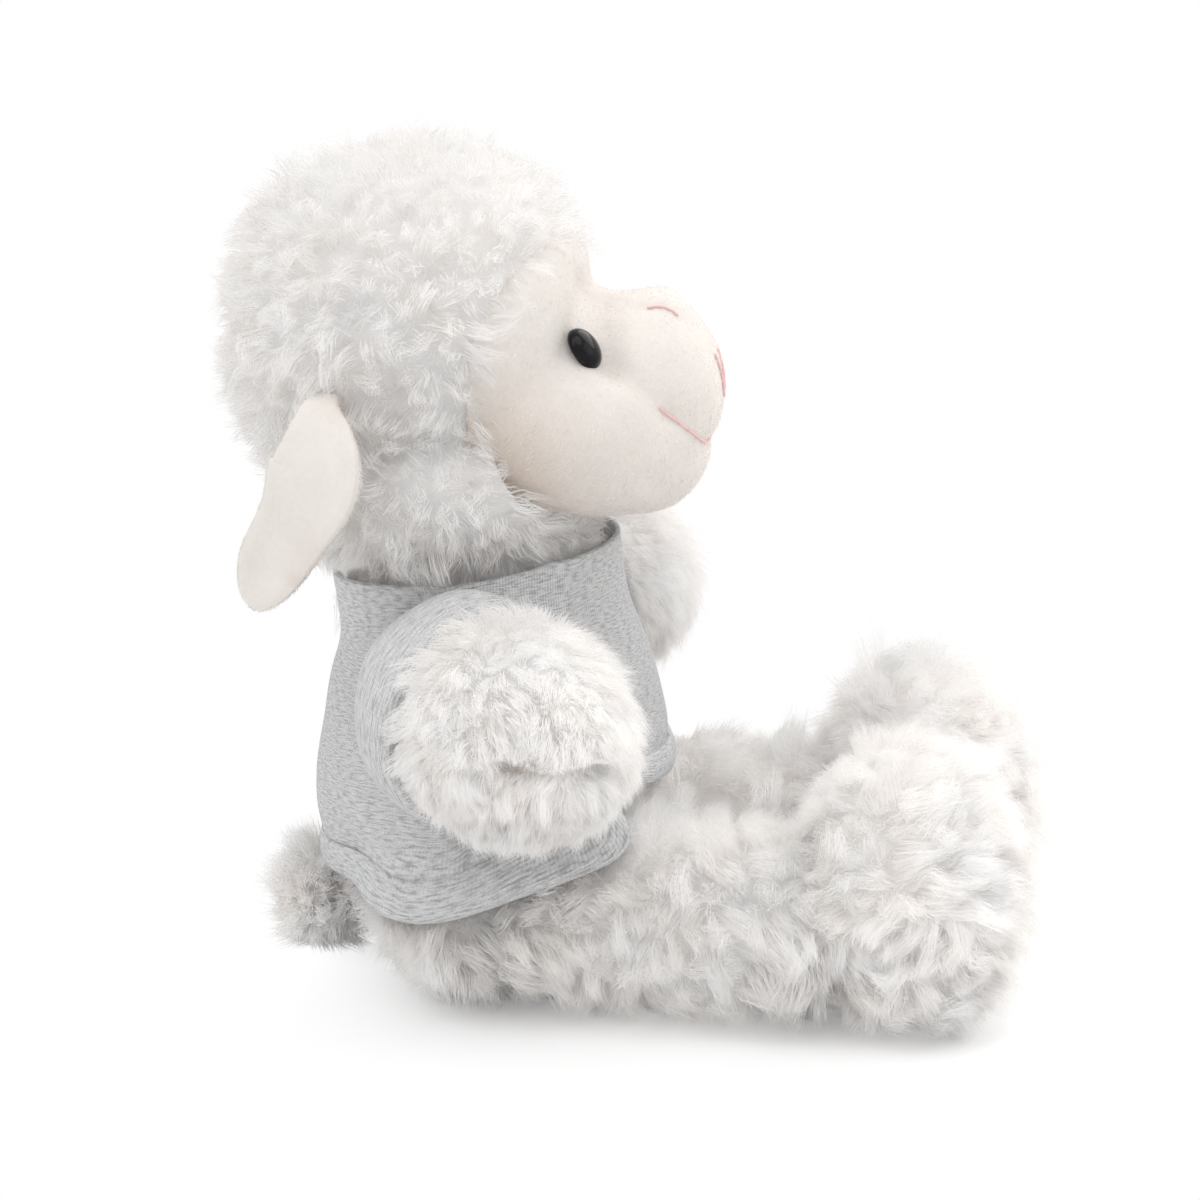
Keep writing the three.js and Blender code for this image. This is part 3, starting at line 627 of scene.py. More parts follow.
def scattered(piece, count, rng, keep):
    """Evenly scattered places on a skin, with their normals, where keep allows."""
    mesh = piece.data
    mesh.calc_loop_triangles()
    corners = gathered(mesh.loop_triangles, "vertices", np.int32)
    points = gathered(mesh.vertices, "co")
    normals = gathered(mesh.vertex_normals, "vector")
    middle = points[corners].mean(axis=1)
    allowed = np.array([keep(Vector(p), Vector(n)) for p, n in zip(middle, normals[corners].mean(axis=1))])
    corners = corners[allowed]
    a, b, c = (points[corners[:, i]] for i in range(3))
    area = np.linalg.norm(np.cross(b - a, c - a), axis=1)
    run = np.cumsum(area) / area.sum()
    picks = np.minimum(np.searchsorted(run, (np.arange(count) + rng.random(count)) / count), len(run) - 1)
    u, v = rng.random(count), rng.random(count)
    over = u + v > 1
    u[over], v[over] = 1 - u[over], 1 - v[over]
    weights = np.stack([1 - u - v, u, v], axis=1)[:, :, None]
    places = (points[corners[picks]] * weights).sum(axis=1)
    outward = unit((normals[corners[picks]] * weights).sum(axis=1))
    return places, outward


def swirled(places, size, rng):
    """Directions that drift smoothly from place to place over a size."""
    waves = rng.normal(size=(3, 5, 3)) * (2.2 / size)
    starts = rng.uniform(0, 2 * np.pi, size=(3, 5))
    return unit(np.stack([np.sin(places @ waves[k].T + starts[k]).sum(axis=1) for k in range(3)], axis=1))


def unit(vectors):
    return vectors / np.maximum(np.linalg.norm(vectors, axis=1), 1e-9)[:, None]


def grown(name, skin, count, length, width, seed, kind, keep=None, comb=None, longer=None, tint=None,
          cloth=None, press=None, floor=None, lean=0.5, stray=0.2, swirl=14 * MM, clump=12.0, gather=0.5,
          stand=0.7, curl=0.2, fray=0.2, facing=0.45, mottle=0.7):
    """Fur over a skin: flat hairs scattered evenly, leaning with their lock and drawn to its tip."""
    rng = np.random.default_rng(seed)
    roots, outward = scattered(skin, count, rng, keep or (lambda point, normal: True))
    locks = max(8, int(count / clump))
    chosen = rng.choice(count, locks, replace=False)
    tree = KDTree(locks)
    for i, pick in enumerate(chosen):
        tree.insert(roots[pick], i)
    tree.balance()
    lock = np.array([tree.find(root)[1] for root in roots])
    flow = comb(roots, outward) if comb else np.zeros_like(roots)
    lock_lean = (swirled(roots[chosen], swirl, rng) * lean + unit(rng.normal(size=(locks, 3))) * stray)[lock] + flow
    lock_lean -= outward * (lock_lean * outward).sum(axis=1)[:, None]
    lock_length = (length * (1 + 0.25 * rng.normal(size=locks).clip(-1.5, 1.5)))[lock]
    if longer:
        lock_length = lock_length * longer(roots)
    long = lock_length * (1 + fray * rng.normal(size=count).clip(-2, 2))
    loose = rng.normal(size=(count, 3)) * fray
    tips = roots + (outward * stand + lock_lean + loose * 0.6) * long[:, None]
    lock_tips = roots[chosen] + (outward[chosen] * stand * 1.05 + lock_lean[chosen]) * lock_length[chosen][:, None]
    tips += (lock_tips[lock] - tips) * (gather * rng.uniform(0.4, 1.0, count))[:, None]
    bends = roots + outward * (long * stand * 0.7)[:, None]
    if cloth is not None:
        kept_back(roots, tips, bends, long, cloth, press)
    across, heights, faces = hair_template()
    chord = unit(tips - roots)
    side = unit(np.cross(chord, outward + rng.normal(size=(count, 3)) * facing))
    wave = unit(np.cross(chord, rng.normal(size=(locks, 3))[lock]))
    thick = width * rng.uniform(0.7, 1.3, count)
    phase = rng.uniform(0, 2 * np.pi, locks)[lock] + rng.normal(size=count) * 0.4
    sunk = roots - outward * (0.4 * width)
    hair = np.empty((count, len(heights), 3))
    for k, h in enumerate(heights):
        line = sunk * (1 - h) ** 2 + bends * (2 * h * (1 - h)) + tips * h * h
        swing = np.sin(phase + 4.5 * h) - np.sin(phase)
        line += wave * (swing * curl * long * h)[:, None]
        hair[:, k] = line + side * (thick * across[k])[:, None]
    if floor is not None:
        under = np.maximum(floor - hair[:, :, 2], 0)
        hair[:, :, :2] += outward[:, None, :2] * under[:, :, None] * 0.9
        hair[:, :, 2] = np.maximum(hair[:, :, 2], floor + 0.02 * under)
    # Painted shade: hairs are darker towards their roots, deep in the pile; each lock also takes a random tone, and
    # tint darkens the hairs in its spots.
    tone = 1 - mottle * (1 - heights[None, :] * 0.5 - 0.5 * rng.random(locks)[lock][:, None])
    if tint:
        tone = tone * tint(roots)[:, None]
    stacked = (faces[None] + (np.arange(count) * len(heights))[:, None, None]).reshape(-1, 3)
    mesh = bpy.data.meshes.new(name)
    mesh.from_pydata(hair.reshape(-1, 3), [], stacked)
    mesh.shade_smooth()
    fur = bpy.data.objects.new(name, mesh)
    bpy.context.scene.collection.objects.link(fur)
    toned(fur, lambda points: tone.reshape(-1))
    mesh.materials.append(material_of(kind))
    return fur


def kept_back(roots, tips, bends, long, cloth, press):
    """Shortens hairs that the cloth presses on, within a reach, and stops hairs that would pass through it."""
    for i in np.nonzero((roots[:, 2] < SHIRT_TOP) & (roots[:, 1] > SHIRT_AHEAD))[0]:
        near = cloth.find_nearest(Vector(roots[i]), press)[3] if press else None
        if near is not None:
            share = 0.35 + 0.65 * ease(near / press)
            tips[i] = roots[i] + (tips[i] - roots[i]) * share
            bends[i] = roots[i] + (bends[i] - roots[i]) * share
            long[i] *= share
        way = Vector(tips[i] - roots[i])
        hit = cloth.ray_cast(Vector(roots[i]), way, way.length * 1.15)
        if hit[0] is not None:
            share = 0.75 * hit[3] / way.length
            tips[i] = roots[i] + (tips[i] - roots[i]) * share
            bends[i] = roots[i] + (bends[i] - roots[i]) * share * 0.8
            long[i] *= share


def toned(piece, tone_at):
    """Gives a piece's points their tone, found from their places."""
    tones = tone_at(gathered(piece.data.vertices, "co"))
    attribute = piece.data.attributes.new("tone", "FLOAT", "POINT")
    attribute.data.foreach_set("value", tones.astype(np.float32))


def plain(points):
    """The tone of a skin under long pile: a little darker, as painted shade."""
    return np.full(len(points), UNDER_PILE_SHADE)


def spotted(roots, spots):
    """How far each place is from the darker spots, painted shade and real stains alike: 1 is clear of them, each spot
    is its middle, size and depth.
    """
    unmarked = np.ones(len(roots))
    for middle, size, depth in spots:
        away = np.linalg.norm(roots - np.array(middle), axis=1) / size
        unmarked -= depth * np.exp(-(away**2))
    return np.clip(unmarked, 0, 1)


# What a user would change

class LambFur(bpy.types.PropertyGroup):
    """Lengths and width of the pile, and the seed of its placing"""

    head_length: bpy.props.FloatProperty(
        name="Head pile", description="Length of the fleece on the head", default=6.2 * MM, unit="LENGTH")
    arm_length: bpy.props.FloatProperty(
        name="Arm pile", description="Length of the pile on the arms", default=7 * MM, unit="LENGTH")
    leg_length: bpy.props.FloatProperty(
        name="Leg pile", description="Length of the shaggy pile on the legs", default=8.8 * MM, unit="LENGTH")
    nap_length: bpy.props.FloatProperty(
        name="Face nap", description="Length of the short pile on face and ears", default=0.9 * MM, unit="LENGTH")
    hair_width: bpy.props.FloatProperty(
        name="Hair width", description="Thickness of one hair at its root", default=0.3 * MM, unit="LENGTH")
    seed: bpy.props.IntProperty(
        name="Seed", description="Start of the random placing of hairs", default=7)


class LambColours(bpy.types.PropertyGroup):
    """Colours of the cloths and trim"""

    fleece: bpy.props.FloatVectorProperty(
        name="Fleece", description="White pile", subtype="COLOR", size=3, default=(0.985, 0.98, 0.975))
    velboa: bpy.props.FloatVectorProperty(
        name="Face", description="Cream short pile", subtype="COLOR", size=3, default=(0.945, 0.908, 0.876))
    jersey: bpy.props.FloatVectorProperty(
        name="Jersey", description="Heather-grey knit", subtype="COLOR", size=3, default=(0.62, 0.62, 0.625))
    fleck: bpy.props.FloatVectorProperty(
        name="Flecks", description="Dark fibres in the knit", subtype="COLOR", size=3, default=(0.42, 0.42, 0.425))
    thread: bpy.props.FloatVectorProperty(
        name="Thread", description="Pink embroidery", subtype="COLOR", size=3, default=(0.93, 0.58, 0.56))
    eye: bpy.props.FloatVectorProperty(
        name="Eyes", description="Black plastic", subtype="COLOR", size=3, default=(0.006, 0.006, 0.007))
    floor: bpy.props.FloatVectorProperty(
        name="Floor", description="Pale floor", subtype="COLOR", size=3, default=(0.97, 0.97, 0.97))


made = {}


def material_of(kind):
    """One shared finish for each cloth or trim."""
    if kind not in made:
        colours = bpy.context.scene.lamb_colours
        makers = {
            # Fleece, shag and puff are lit and shaded copies of one white pile: shag is painted a shade darker and
            # puff a shade lighter, and each lets a different share of light through, to even out how the lamps fall on
            # head, body, arms, legs and tail.
            "fleece": lambda: fleece_finish("white_fleece", shade(colours.fleece, 0.945), 0.7),
            "shag": lambda: fleece_finish("white_shag_shaded", shade(colours.fleece, 0.938), 0.84),
            "puff": lambda: fleece_finish("white_puff_lit", shade(colours.fleece, 0.965), 0.88),
            "velboa": lambda: velboa_finish("cream_velboa", colours.velboa),
            "jersey": lambda: jersey_finish("heather_jersey", colours.jersey, colours.fleck),
            "eye": lambda: eye_finish("black_eye", colours.eye),
            "thread": lambda: thread_finish("pink_thread", colours.thread),
            "floor": lambda: floor_finish("pale_floor", colours.floor),
        }
        made[kind] = makers[kind]()
    return made[kind]


def dress(piece, body, slot, kind, *nodes):
    """Gives a piece its finish and its body, and hides the solids that it stands for."""
    if not piece.data.materials:
        piece.data.materials.append(material_of(kind))
    if body:
        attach(piece, body)
    if nodes:
        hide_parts(*nodes)
    return piece


def screen():
    """The shirt's cloth, which the pile under it lies against."""
    bm = bmesh.new()
    for name in SHIRT_PIECES:
        bm.from_mesh(bpy.data.objects[name].data)
    tree = BVHTree.FromBMesh(bm)
    bm.free()
    return tree


class LAMB_OT_stage(bpy.types.Operator):
    """Sets the floor, the light and the camera"""

    bl_idname = "lamb.stage"
    bl_label = "Stage"

    def execute(self, context):
        scene = context.scene
        scene.view_settings.view_transform = "Standard"
        bm = bmesh.new()
        bmesh.ops.create_grid(bm, x_segments=4, y_segments=4, size=FLOOR_SIZE)
        floor = new_piece("floor", bm)
        floor.data.materials.append(material_of("floor"))
        lens = bpy.data.cameras.new("camera")
        lens.lens = CAMERA_LENS
        lens.sensor_width = 36
        lens.clip_start = 0.05
        scene.camera = self.placed("camera", lens, CAMERA_PLACE, CAMERA_TARGET)
        for name, (place, power) in LAMPS.items():
            light = bpy.data.lights.new(name, "AREA")
            light.shape = "DISK"
            light.size = LAMP_SIZE
            light.energy = power
            self.placed(name, light, Vector(place), LAMP_TARGET)
        world = bpy.data.worlds.new("studio")
        scene.world = world
        world.use_nodes = True
        tree = world.node_tree
        strength = wired(tree, "MapRange", {"Value": shown(tree), "To Min": WORLD_LIGHT, "To Max": 1.0})
        feed(tree, tree.nodes["Background"], {"Color": (1, 1, 1), "Strength": strength.outputs[0]})
        return {"FINISHED"}

    def placed(self, name, data, place, target):
        """Puts a camera or a lamp at a place and points it at a target."""
        thing = bpy.data.objects.new(name, data)
        thing.location = place
        thing.rotation_euler = (target - place).to_track_quat("-Z", "Y").to_euler()
        bpy.context.scene.collection.objects.link(thing)
        return thing


class LAMB_OT_shirt(bpy.types.Operator):
    """Makes the T-shirt's panels, hem and sleeves"""

    bl_idname = "lamb.shirt"
    bl_label = "T-shirt"

    def execute(self, context):
        form = self.body_form()
        tree = tree_of(form)
        drop(form)
        self.edges = {}
        for name, front in (("tee_front", True), ("tee_back", False)):
            dress(self.panel(name, tree, front), "torso", "grey_jersey", "jersey", name)
        dress(self.hem(tree), "torso", "grey_jersey", "jersey", "tee_hem")
        for side in SIDES:
            sleeve = self.sleeve(side, tree)
            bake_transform(sleeve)
            dress(sleeve, None, "grey_jersey", "jersey", f"tee_{side}_sleeve")
        return {"FINISHED"}

    def body_form(self):
        """What the shirt is drawn over: torso, neck, shoulders and the tops of the thighs."""
        bm = bmesh.new()
        stuffed(bm, TORSO, 1.2 * MM)
        ball(bm, NECK, 34.6 * MM)
        for side in SIDES:
            thigh = leg_form(side)
            thigh["spine"][1] = HIPS[side] + at(0, 58, 0)
            stuffed(bm, thigh, 2.2 * MM)
            ball(bm, HIPS[side], 26.2 * MM)
            ball(bm, SHOULDERS[side], SLEEVE_RADIUS)
        return merged("shirt_form", bm, 1.6 * MM, 55)

    def ray(self, tree, turn, rise):
        """Where a line from the middle of the shirt leaves its form."""
        way = Vector((math.sin(turn) * math.cos(rise), -math.cos(turn) * math.cos(rise), math.sin(rise)))
        hit = tree.ray_cast(SHIRT_CENTRE, way, 0.3)
        if hit[0] is None:
            raise RuntimeError("the shirt's form is open")
        return hit[0], way

    def edge_rises(self, tree, turn):
        """The rises of the collar's edge, the hem's fold and the hem's edge at a turn about the shirt."""
        key = round(math.degrees(turn) % 360, 2)
        if key not in self.edges:
            rise, step = math.radians(66), math.radians(2)
            before = None
            while True:
                point, _ = self.ray(tree, turn, rise)
                over = point.z - collar_height(point)
                if over < 0:
                    break
                before = over
                rise -= step
            top = rise + (step * -over / (before - over) if before else 0)
            low = hem_rise(turn)
            reach = (self.ray(tree, turn, low)[0] - SHIRT_CENTRE).length
            self.edges[key] = top, low + HEM_BAND / reach, low
        return self.edges[key]

    def folds(self, point):
        """Slack in the cloth: drag lines from the armholes and a soft sag above the hem."""
        x, f, z = point.x / MM, -point.y / MM, point.z / MM
        drag = 0.4 * math.sin(0.32 * f + 0.18 * z + 0.6 * math.sin(0.07 * z)) * ease((95 - z) / 25)
        sag = 0.9 * math.exp(-(((z - 56) / 10) ** 2)) * (0.6 + 0.4 * math.sin(0.21 * f + 0.1 * x))
        dart = self.from_dart(point)
        pinch = 1.3 * math.exp(-(((dart - 4.2) / 2.4) ** 2)) - 2.0 * math.exp(-((dart / 1.6) ** 2))
        return (drag + sag + pinch) * MM

    def from_dart(self, point):
        """Millimetres from the pinch at the front of the shoulder."""
        start, end = at(-29, 23.5, 108), at(-42, 22.5, 98)
        here = Vector((-abs(point.x), point.y, point.z))
        share = clamp((here - start).dot(end - start) / (end - start).length_squared)
        return (start + (end - start) * share - here).length / MM

    def wrap(self, bm, place):
        """Lays the knit's own map over the cloth, in metres."""
        knit = bm.loops.layers.uv.new("knit")
        for face in bm.faces:
            for loop in face.loops:
                loop[knit].uv = place[loop.vert]

    def panel(self, node, tree, front):
        columns, rows = 150, 76
        bm = grid(columns, rows)
        place = {}
        seam = SIDE_SEAM_TURN
        for vert in bm.verts:
            u, v = vert.co.x + 0.5, 0.5 - vert.co.y
            turn = -seam + 2 * seam * u if front else seam + (2 * math.pi - 2 * seam) * u
            top, fold, _ = self.edge_rises(tree, turn)
            point, way = self.ray(tree, turn, top + (fold - math.radians(1.5) - top) * v)
            rim = min(u, 1 - u) * columns
            proud = 0.9 * MM + self.folds(point)
            proud -= 1.1 * MM * math.exp(-((rim / 1.3) ** 2)) * ease((84 * MM - point.z) / (10 * MM))
            proud += 0.9 * MM * math.exp(-((v * rows / 3.0) ** 2))
            proud -= 0.8 * MM * ease((v - 0.88) / 0.12)
            vert.co = point + way * proud
            place[vert] = (turn * 46 * MM, v * 78 * MM)
        self.wrap(bm, place)
        for side in SIDES:
            trimmed(bm, lambda p, s=ARMHOLES[side]: (p - s).length - ARMHOLE)
        for vert in bm.verts:
            for side in SIDES:
                gap = (vert.co - ARMHOLES[side]).length - ARMHOLE
                sink = math.exp(-((gap / (2.0 * MM)) ** 2))
                vert.co -= (vert.co - SHIRT_CENTRE).normalized() * (1.9 * MM * sink)
        piece = self.cloth(node, bm, SHIRT_CENTRE, SHIRT_THICKNESS)
        return piece

    def cloth(self, node, bm, inside, thickness):
        """Turns a grid into cloth of a thickness, facing away from a point."""
        bmesh.ops.remove_doubles(bm, verts=bm.verts, dist=0.02 * MM)
        bmesh.ops.recalc_face_normals(bm, faces=bm.faces)
        facing = sum(face.normal.dot(face.calc_center_median() - inside) for face in bm.faces)
        if facing < 0:
            bmesh.ops.reverse_faces(bm, faces=bm.faces)
        return thickened(new_piece(node + "_cloth", bm), thickness)

    def hem(self, tree):
        bm = grid(300, 14)
        place = {}
        for vert in bm.verts:
            u, v = vert.co.x + 0.5, 0.5 - vert.co.y
            turn = 2 * math.pi * u
            _, fold, low = self.edge_rises(tree, turn)
            point, way = self.ray(tree, turn, fold + (low - fold) * v)
            lip = 0.6 - 0.2 * ease((math.cos(turn) - 0.55) / 0.3)
            roll = lip + 1.6 * math.sin(math.pi * clamp(v)) ** 0.7 - 1.2 * ease((v - 0.75) / 0.25)
            wave = 0.35 * math.sin(turn * 5 + 1.0) + 0.25 * math.sin(turn * 11)
            vert.co = point + way * ((roll + 0.3 * wave) * MM)
            place[vert] = (turn * 50 * MM, 0.2 + v * 10 * MM)
        self.wrap(bm, place)
        piece = self.cloth("tee_hem", bm, SHIRT_CENTRE, HEM_THICKNESS)
        return piece

    def sleeve(self, side, tree):
        shoulder, aim = SHOULDERS[side], arm_aim(side)
        tall = (UP - aim * UP.dot(aim)).normalized()
        wide = aim.cross(tall)
        columns, rows = 140, 26
        bm = grid(columns, rows)
        place = {}
        seams = {}
        mouth = math.acos(SLEEVE_MOUTH / SLEEVE_RADIUS)
        axis = (aim + Vector((SIDES[side] * 1.4, 0, 0))).normalized()
        for vert in bm.verts:
            u, v = vert.co.x + 0.5, vert.co.y + 0.5
            turn = 2 * math.pi * u
            round_it = tall * math.cos(turn) + wide * math.sin(turn)
            edge = aim * math.cos(mouth) + round_it * math.sin(mouth)
            back = axis.cross(edge).normalized().cross(edge)
            key = round(u * columns) % columns
            if key not in seams:
                seams[key] = self.seam_angle(tree, side, edge, back)
            angle = seams[key] * (1 - v)
            out = edge * math.cos(angle) + back * math.sin(angle)
            reach = self.reach(tree, shoulder, out)
            swell = 0.9 + 1.5 * max(0.0, math.cos(turn))
            puff = 0.5 + swell * math.sin(math.pi * clamp(v) ** 0.7) * (1 + 0.15 * math.sin(turn * 7))
            puff -= 1.4 * math.exp(-((v * rows / 2.0) ** 2))
            puff -= 0.9 * math.exp(-(((1 - v) * rows / 1.4) ** 2))
            vert.co = shoulder + out * (reach + puff * MM)
            place[vert] = (turn * 26 * MM, angle * 26 * MM)
        self.wrap(bm, place)
        piece = self.cloth(f"tee_{side}_sleeve", bm, shoulder, SHIRT_THICKNESS)
        return piece

    def reach(self, tree, shoulder, out):
        """How far the shirt's form is from the shoulder, one way out of it."""
        hit = tree.ray_cast(shoulder, out, 0.2)
        return min(hit[3], SLEEVE_REACH) if hit[0] is not None else SLEEVE_REACH

    def seam_angle(self, tree, side, edge, back):
        """Where the sleeve meets the armhole, as an angle back from the sleeve's edge."""
        shoulder = SHOULDERS[side]
        angle = 0.0
        while angle < math.radians(120):
            out = edge * math.cos(angle) + back * math.sin(angle)
            point = shoulder + out * self.reach(tree, shoulder, out)
            if (point - ARMHOLES[side]).length > ARMHOLE:
                break
            angle += math.radians(0.5)
        return max(angle, math.radians(6))


class LAMB_OT_head(bpy.types.Operator):
    """Makes the fleece over the skull and neck"""

    bl_idname = "lamb.head"
    bl_label = "Head"

    def execute(self, context):
        fur = context.scene.lamb_fur
        bm = bmesh.new()
        stuffed(bm, SKULL, 0.4 * MM)
        stuffed(bm, JAW, 0.2 * MM)
        ball(bm, NECK, 28.5 * MM)
        stuffed(bm, RUFF)
        skin = merged("head_stuffed", bm, 1.5 * MM, 12)
        with edited(skin) as bm:
            trimmed(bm, lambda p: 1.5 * MM - face_side(p))
            trimmed(bm, lambda p: p.z - (NECK.z - 3 * MM))
        thickened(skin, 1.6 * MM)
        toned(skin, plain)
        dress(skin, "head", "white_fur", "fleece", "head_wool", "head_stuffing")
        shell = tree_of(skin)

        def outside(point, normal):
            return shell.ray_cast(point + normal * 0.3 * MM, normal, 0.02)[0] is None

        def low(roots):
            return np.clip((118 * MM - roots[:, 2]) / (14 * MM), 0, 1)

        def comb(roots, outward):
            flow = np.zeros_like(roots)
            edge = np.array([face_side(Vector(root)) for root in roots]) / MM
            beside = np.exp(-((edge / 5) ** 2))
            flow[:, 2] = -0.2 - 0.75 * low(roots) * (1 - 0.8 * beside)
            flow[:, 1] = -0.75 * beside
            return flow

        def longer(roots):
            edge = np.array([face_side(Vector(root)) for root in roots]) / MM
            return 1 + 0.35 * low(roots) - 0.2 * np.exp(-((edge / 6) ** 2))

        for layer, (side, sign) in enumerate(SIDES.items()):

            def own_half(point, normal, sign=sign):
                ragged = 4 * math.sin(point.z / MM * 0.35) + 3 * math.sin(point.y / MM * 0.5)
                bare = point.z < collar_height(point) - 5 * MM
                return not bare and (point.x / MM - ragged) * sign > 0 and outside(point, normal)

            fleece = grown(
                side + "_head_fleece", skin, HAIRS["head"], fur.head_length, fur.hair_width * 0.6, fur.seed + layer,
                "fleece", keep=own_half, comb=comb, longer=longer, cloth=screen(), **HEAD_LIE,
            )
            dress(fleece, "head", "white_fur", "fleece")
        return {"FINISHED"}


class LAMB_OT_face(bpy.types.Operator):
    """Makes the short-pile face with its creases"""

    bl_idname = "lamb.face"
    bl_label = "Face"

    CREASES = (
        ([(-9, 30, 168), (-17, 31, 162), (-20.5, 33, 156), (-22.5, 35, 151)], 2.6, 4.6),
        ([(-22.5, 34.5, 151.5), (-23, 38, 147.5), (-22, 42.5, 143.5), (-20, 46, 140.3)], 1.9, 3.4),
        ([(-19.8, 46.3, 140), (-16.3, 49.8, 136.6), (-12, 53, 133.2), (-6, 55, 130.4), (0, 55.6, 129.6)], 1.1, 2.2),
        ([(-9.5, 40, 162.2), (-9, 43.5, 163), (-8.4, 46.5, 162.8), (-8.2, 49, 161)], 0.8, 1.6),
        ([(-7, 33, 166), (0, 34, 166)], 1.2, 6),
    )
    SWELLS = (
        ((-4.5, 45, 165), 2.2, 5.5),
        ((-26, 38, 138), 1.0, 11),
        ((-3, 57, 152), -2.4, 9),
    )

    def execute(self, context):
        fur = context.scene.lamb_fur
        bm = bmesh.new()
        for form in (SKULL, JAW, NOSE):
            stuffed(bm, form, 1.8 * MM)
        skin = merged("face_stuffed", bm, 1.1 * MM, 8)
        self.sculpt(skin.data)
        with edited(skin) as bm:
            trimmed(bm, lambda p: face_side(p) + 1.0 * MM + 4 * MM * ease((142 * MM - p.z) / (12 * MM)))
            trimmed(bm, lambda p: (p - NECK).length - 36.5 * MM)
            bm.normal_update()
            sinks = [self.rim_sink(vert.co) for vert in bm.verts]
            ways = [vert.normal.copy() for vert in bm.verts]
            for vert, way, sink in zip(bm.verts, ways, sinks):
                vert.co -= way * sink
        thickened(skin, 1.4 * MM)
        dress(skin, "head", "short_pile", "velboa",
              "muzzle_panel", "chin_panel", "right_cheek_panel", "left_cheek_panel")
        shell = tree_of(skin)
        # Painted shade: the lower back of each cheek, where it meets the fleece, is painted beige and darker.
        darker_spots = [(at(sign * 33, 9, 131), 15 * MM, 0.75) for sign in (-1, 1)]
        darker_spots += [(at(sign * 27, 14, 121), 12 * MM, 0.4) for sign in (-1, 1)]

        def tint(roots):
            return spotted(roots, darker_spots)

        toned(skin, tint)

        def outside(point, normal):
            return shell.ray_cast(point + normal * 0.3 * MM, normal, 0.02)[0] is None

        def comb(roots, outward):
            forward, height = -roots[:, 1] / MM, roots[:, 2] / MM
            rear = np.exp(-(((forward - 12) / 10) ** 2) - ((height - 132) / 13) ** 2)
            ripple = np.sin(3.2 * (forward * 0.8 - height * 0.6) + 1.5 * np.sin(height * 0.9)) * rear
            flow = np.repeat(np.array([[0, 0.55, -0.75]]), len(roots), axis=0)
            flow[:, 1] += 0.7 * ripple
            return flow

        nap = grown(
            "face_nap", skin, HAIRS["face"], fur.nap_length, NAP_WIDTH, fur.seed + 1, "velboa",
            keep=outside, comb=comb, tint=tint, mottle=0.3, clump=9, stand=0.25, **NAP_LIE,
        )
        dress(nap, "head", "short_pile", "velboa")
        return {"FINISHED"}

    def rim_sink(self, point):
        """How deep the face's edge sinks into the fleece."""
        upper = ease((point.z - 136 * MM) / (10 * MM))
        return 1.3 * MM * math.exp(-((face_side(point) / (2.6 * MM)) ** 2)) * upper

    def sculpt(self, mesh):
        """Presses the sewn creases into the stuffed face and lifts its swells."""
        normals = [normal.vector.copy() for normal in mesh.vertex_normals]
        for vert, normal in zip(mesh.vertices, normals):
            push = 0.0
            point = Vector((-abs(vert.co.x), vert.co.y, vert.co.z))
            if point.y > 0:
                continue
            for line, depth, reach in self.CREASES:
                push -= depth * math.exp(-((self.distance(point, line) / reach) ** 2))
            for place, height, reach in self.SWELLS:
                push += height * math.exp(-(((point - at(*place)).length / MM / reach) ** 2))
            vert.co += normal * push * MM
            tuck = ease((123 - vert.co.z / MM) / 12) * ease((50 + vert.co.y / MM) / 18)
            vert.co.z += 3.2 * MM * tuck

    def distance(self, point, line):
        best = 1e9
        for a, b in zip(line, line[1:]):
            a, b = at(*a), at(*b)
            share = clamp((point - a).dot(b - a) / (b - a).length_squared)
            best = min(best, (a + (b - a) * share - point).length / MM)
        return best


class LAMB_OT_eyes(bpy.types.Operator):
    """Makes the domed safety eyes with their posts and washers"""

    bl_idname = "lamb.eyes"
    bl_label = "Eyes"

    def execute(self, context):
        skin = tree_of(bpy.data.objects["face_stuffed"])
        for side, sign in SIDES.items():
            aim = Vector((sign * 0.13, -0.81, 0.56)).normalized()
            low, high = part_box(side + "_eye")
            inside = (low + high) / 2 + at(0, 1.2, 0.9) - aim * 25 * MM
            seat = skin.ray_cast(inside + aim * 60 * MM, -aim, 0.1)[0]
            if seat is None:
                raise RuntimeError("the eye has no face to sit on")
            r = 5.3
            profile = [
                (0, -10), (1.6, -10), (1.6, -1.4), (r * 0.9, -1.3), (r, -0.5), (r * 0.99, 0.2),
                (r * 0.94, 0.9), (r * 0.84, 1.6), (r * 0.67, 2.25), (r * 0.45, 2.7), (r * 0.22, 2.95), (0, 3.0),
            ]
            bm = bmesh.new()
            verts = [bm.verts.new((reach * MM, 0, depth * MM)) for reach, depth in profile]
            edges = [bm.edges.new(pair) for pair in zip(verts, verts[1:])]
            bmesh.ops.spin(bm, geom=verts + edges, cent=(0, 0, 0), axis=(0, 0, 1),
                           angle=2 * math.pi, steps=40, use_merge=True)
            bmesh.ops.remove_doubles(bm, verts=bm.verts, dist=0.01 * MM)
            bmesh.ops.recalc_face_normals(bm, faces=bm.faces)
            washer = bmesh.ops.create_cone(bm, cap_ends=True, segments=32, radius1=4.3 * MM,
                                           radius2=4.3 * MM, depth=1.2 * MM)
            bmesh.ops.translate(bm, verts=washer["verts"], vec=(0, 0, -5.6 * MM))
            turn = aim.to_track_quat("Z", "Y").to_matrix()
            bmesh.ops.rotate(bm, verts=bm.verts, cent=(0, 0, 0), matrix=turn)
            bmesh.ops.translate(bm, verts=bm.verts, vec=seat + aim * 0.5 * MM)
            eye = new_piece(side + "_eye_dome", bm)
            dress(eye, "head", "eye_black", "eye", side + "_eye", side + "_eye_washer")
        return {"FINISHED"}


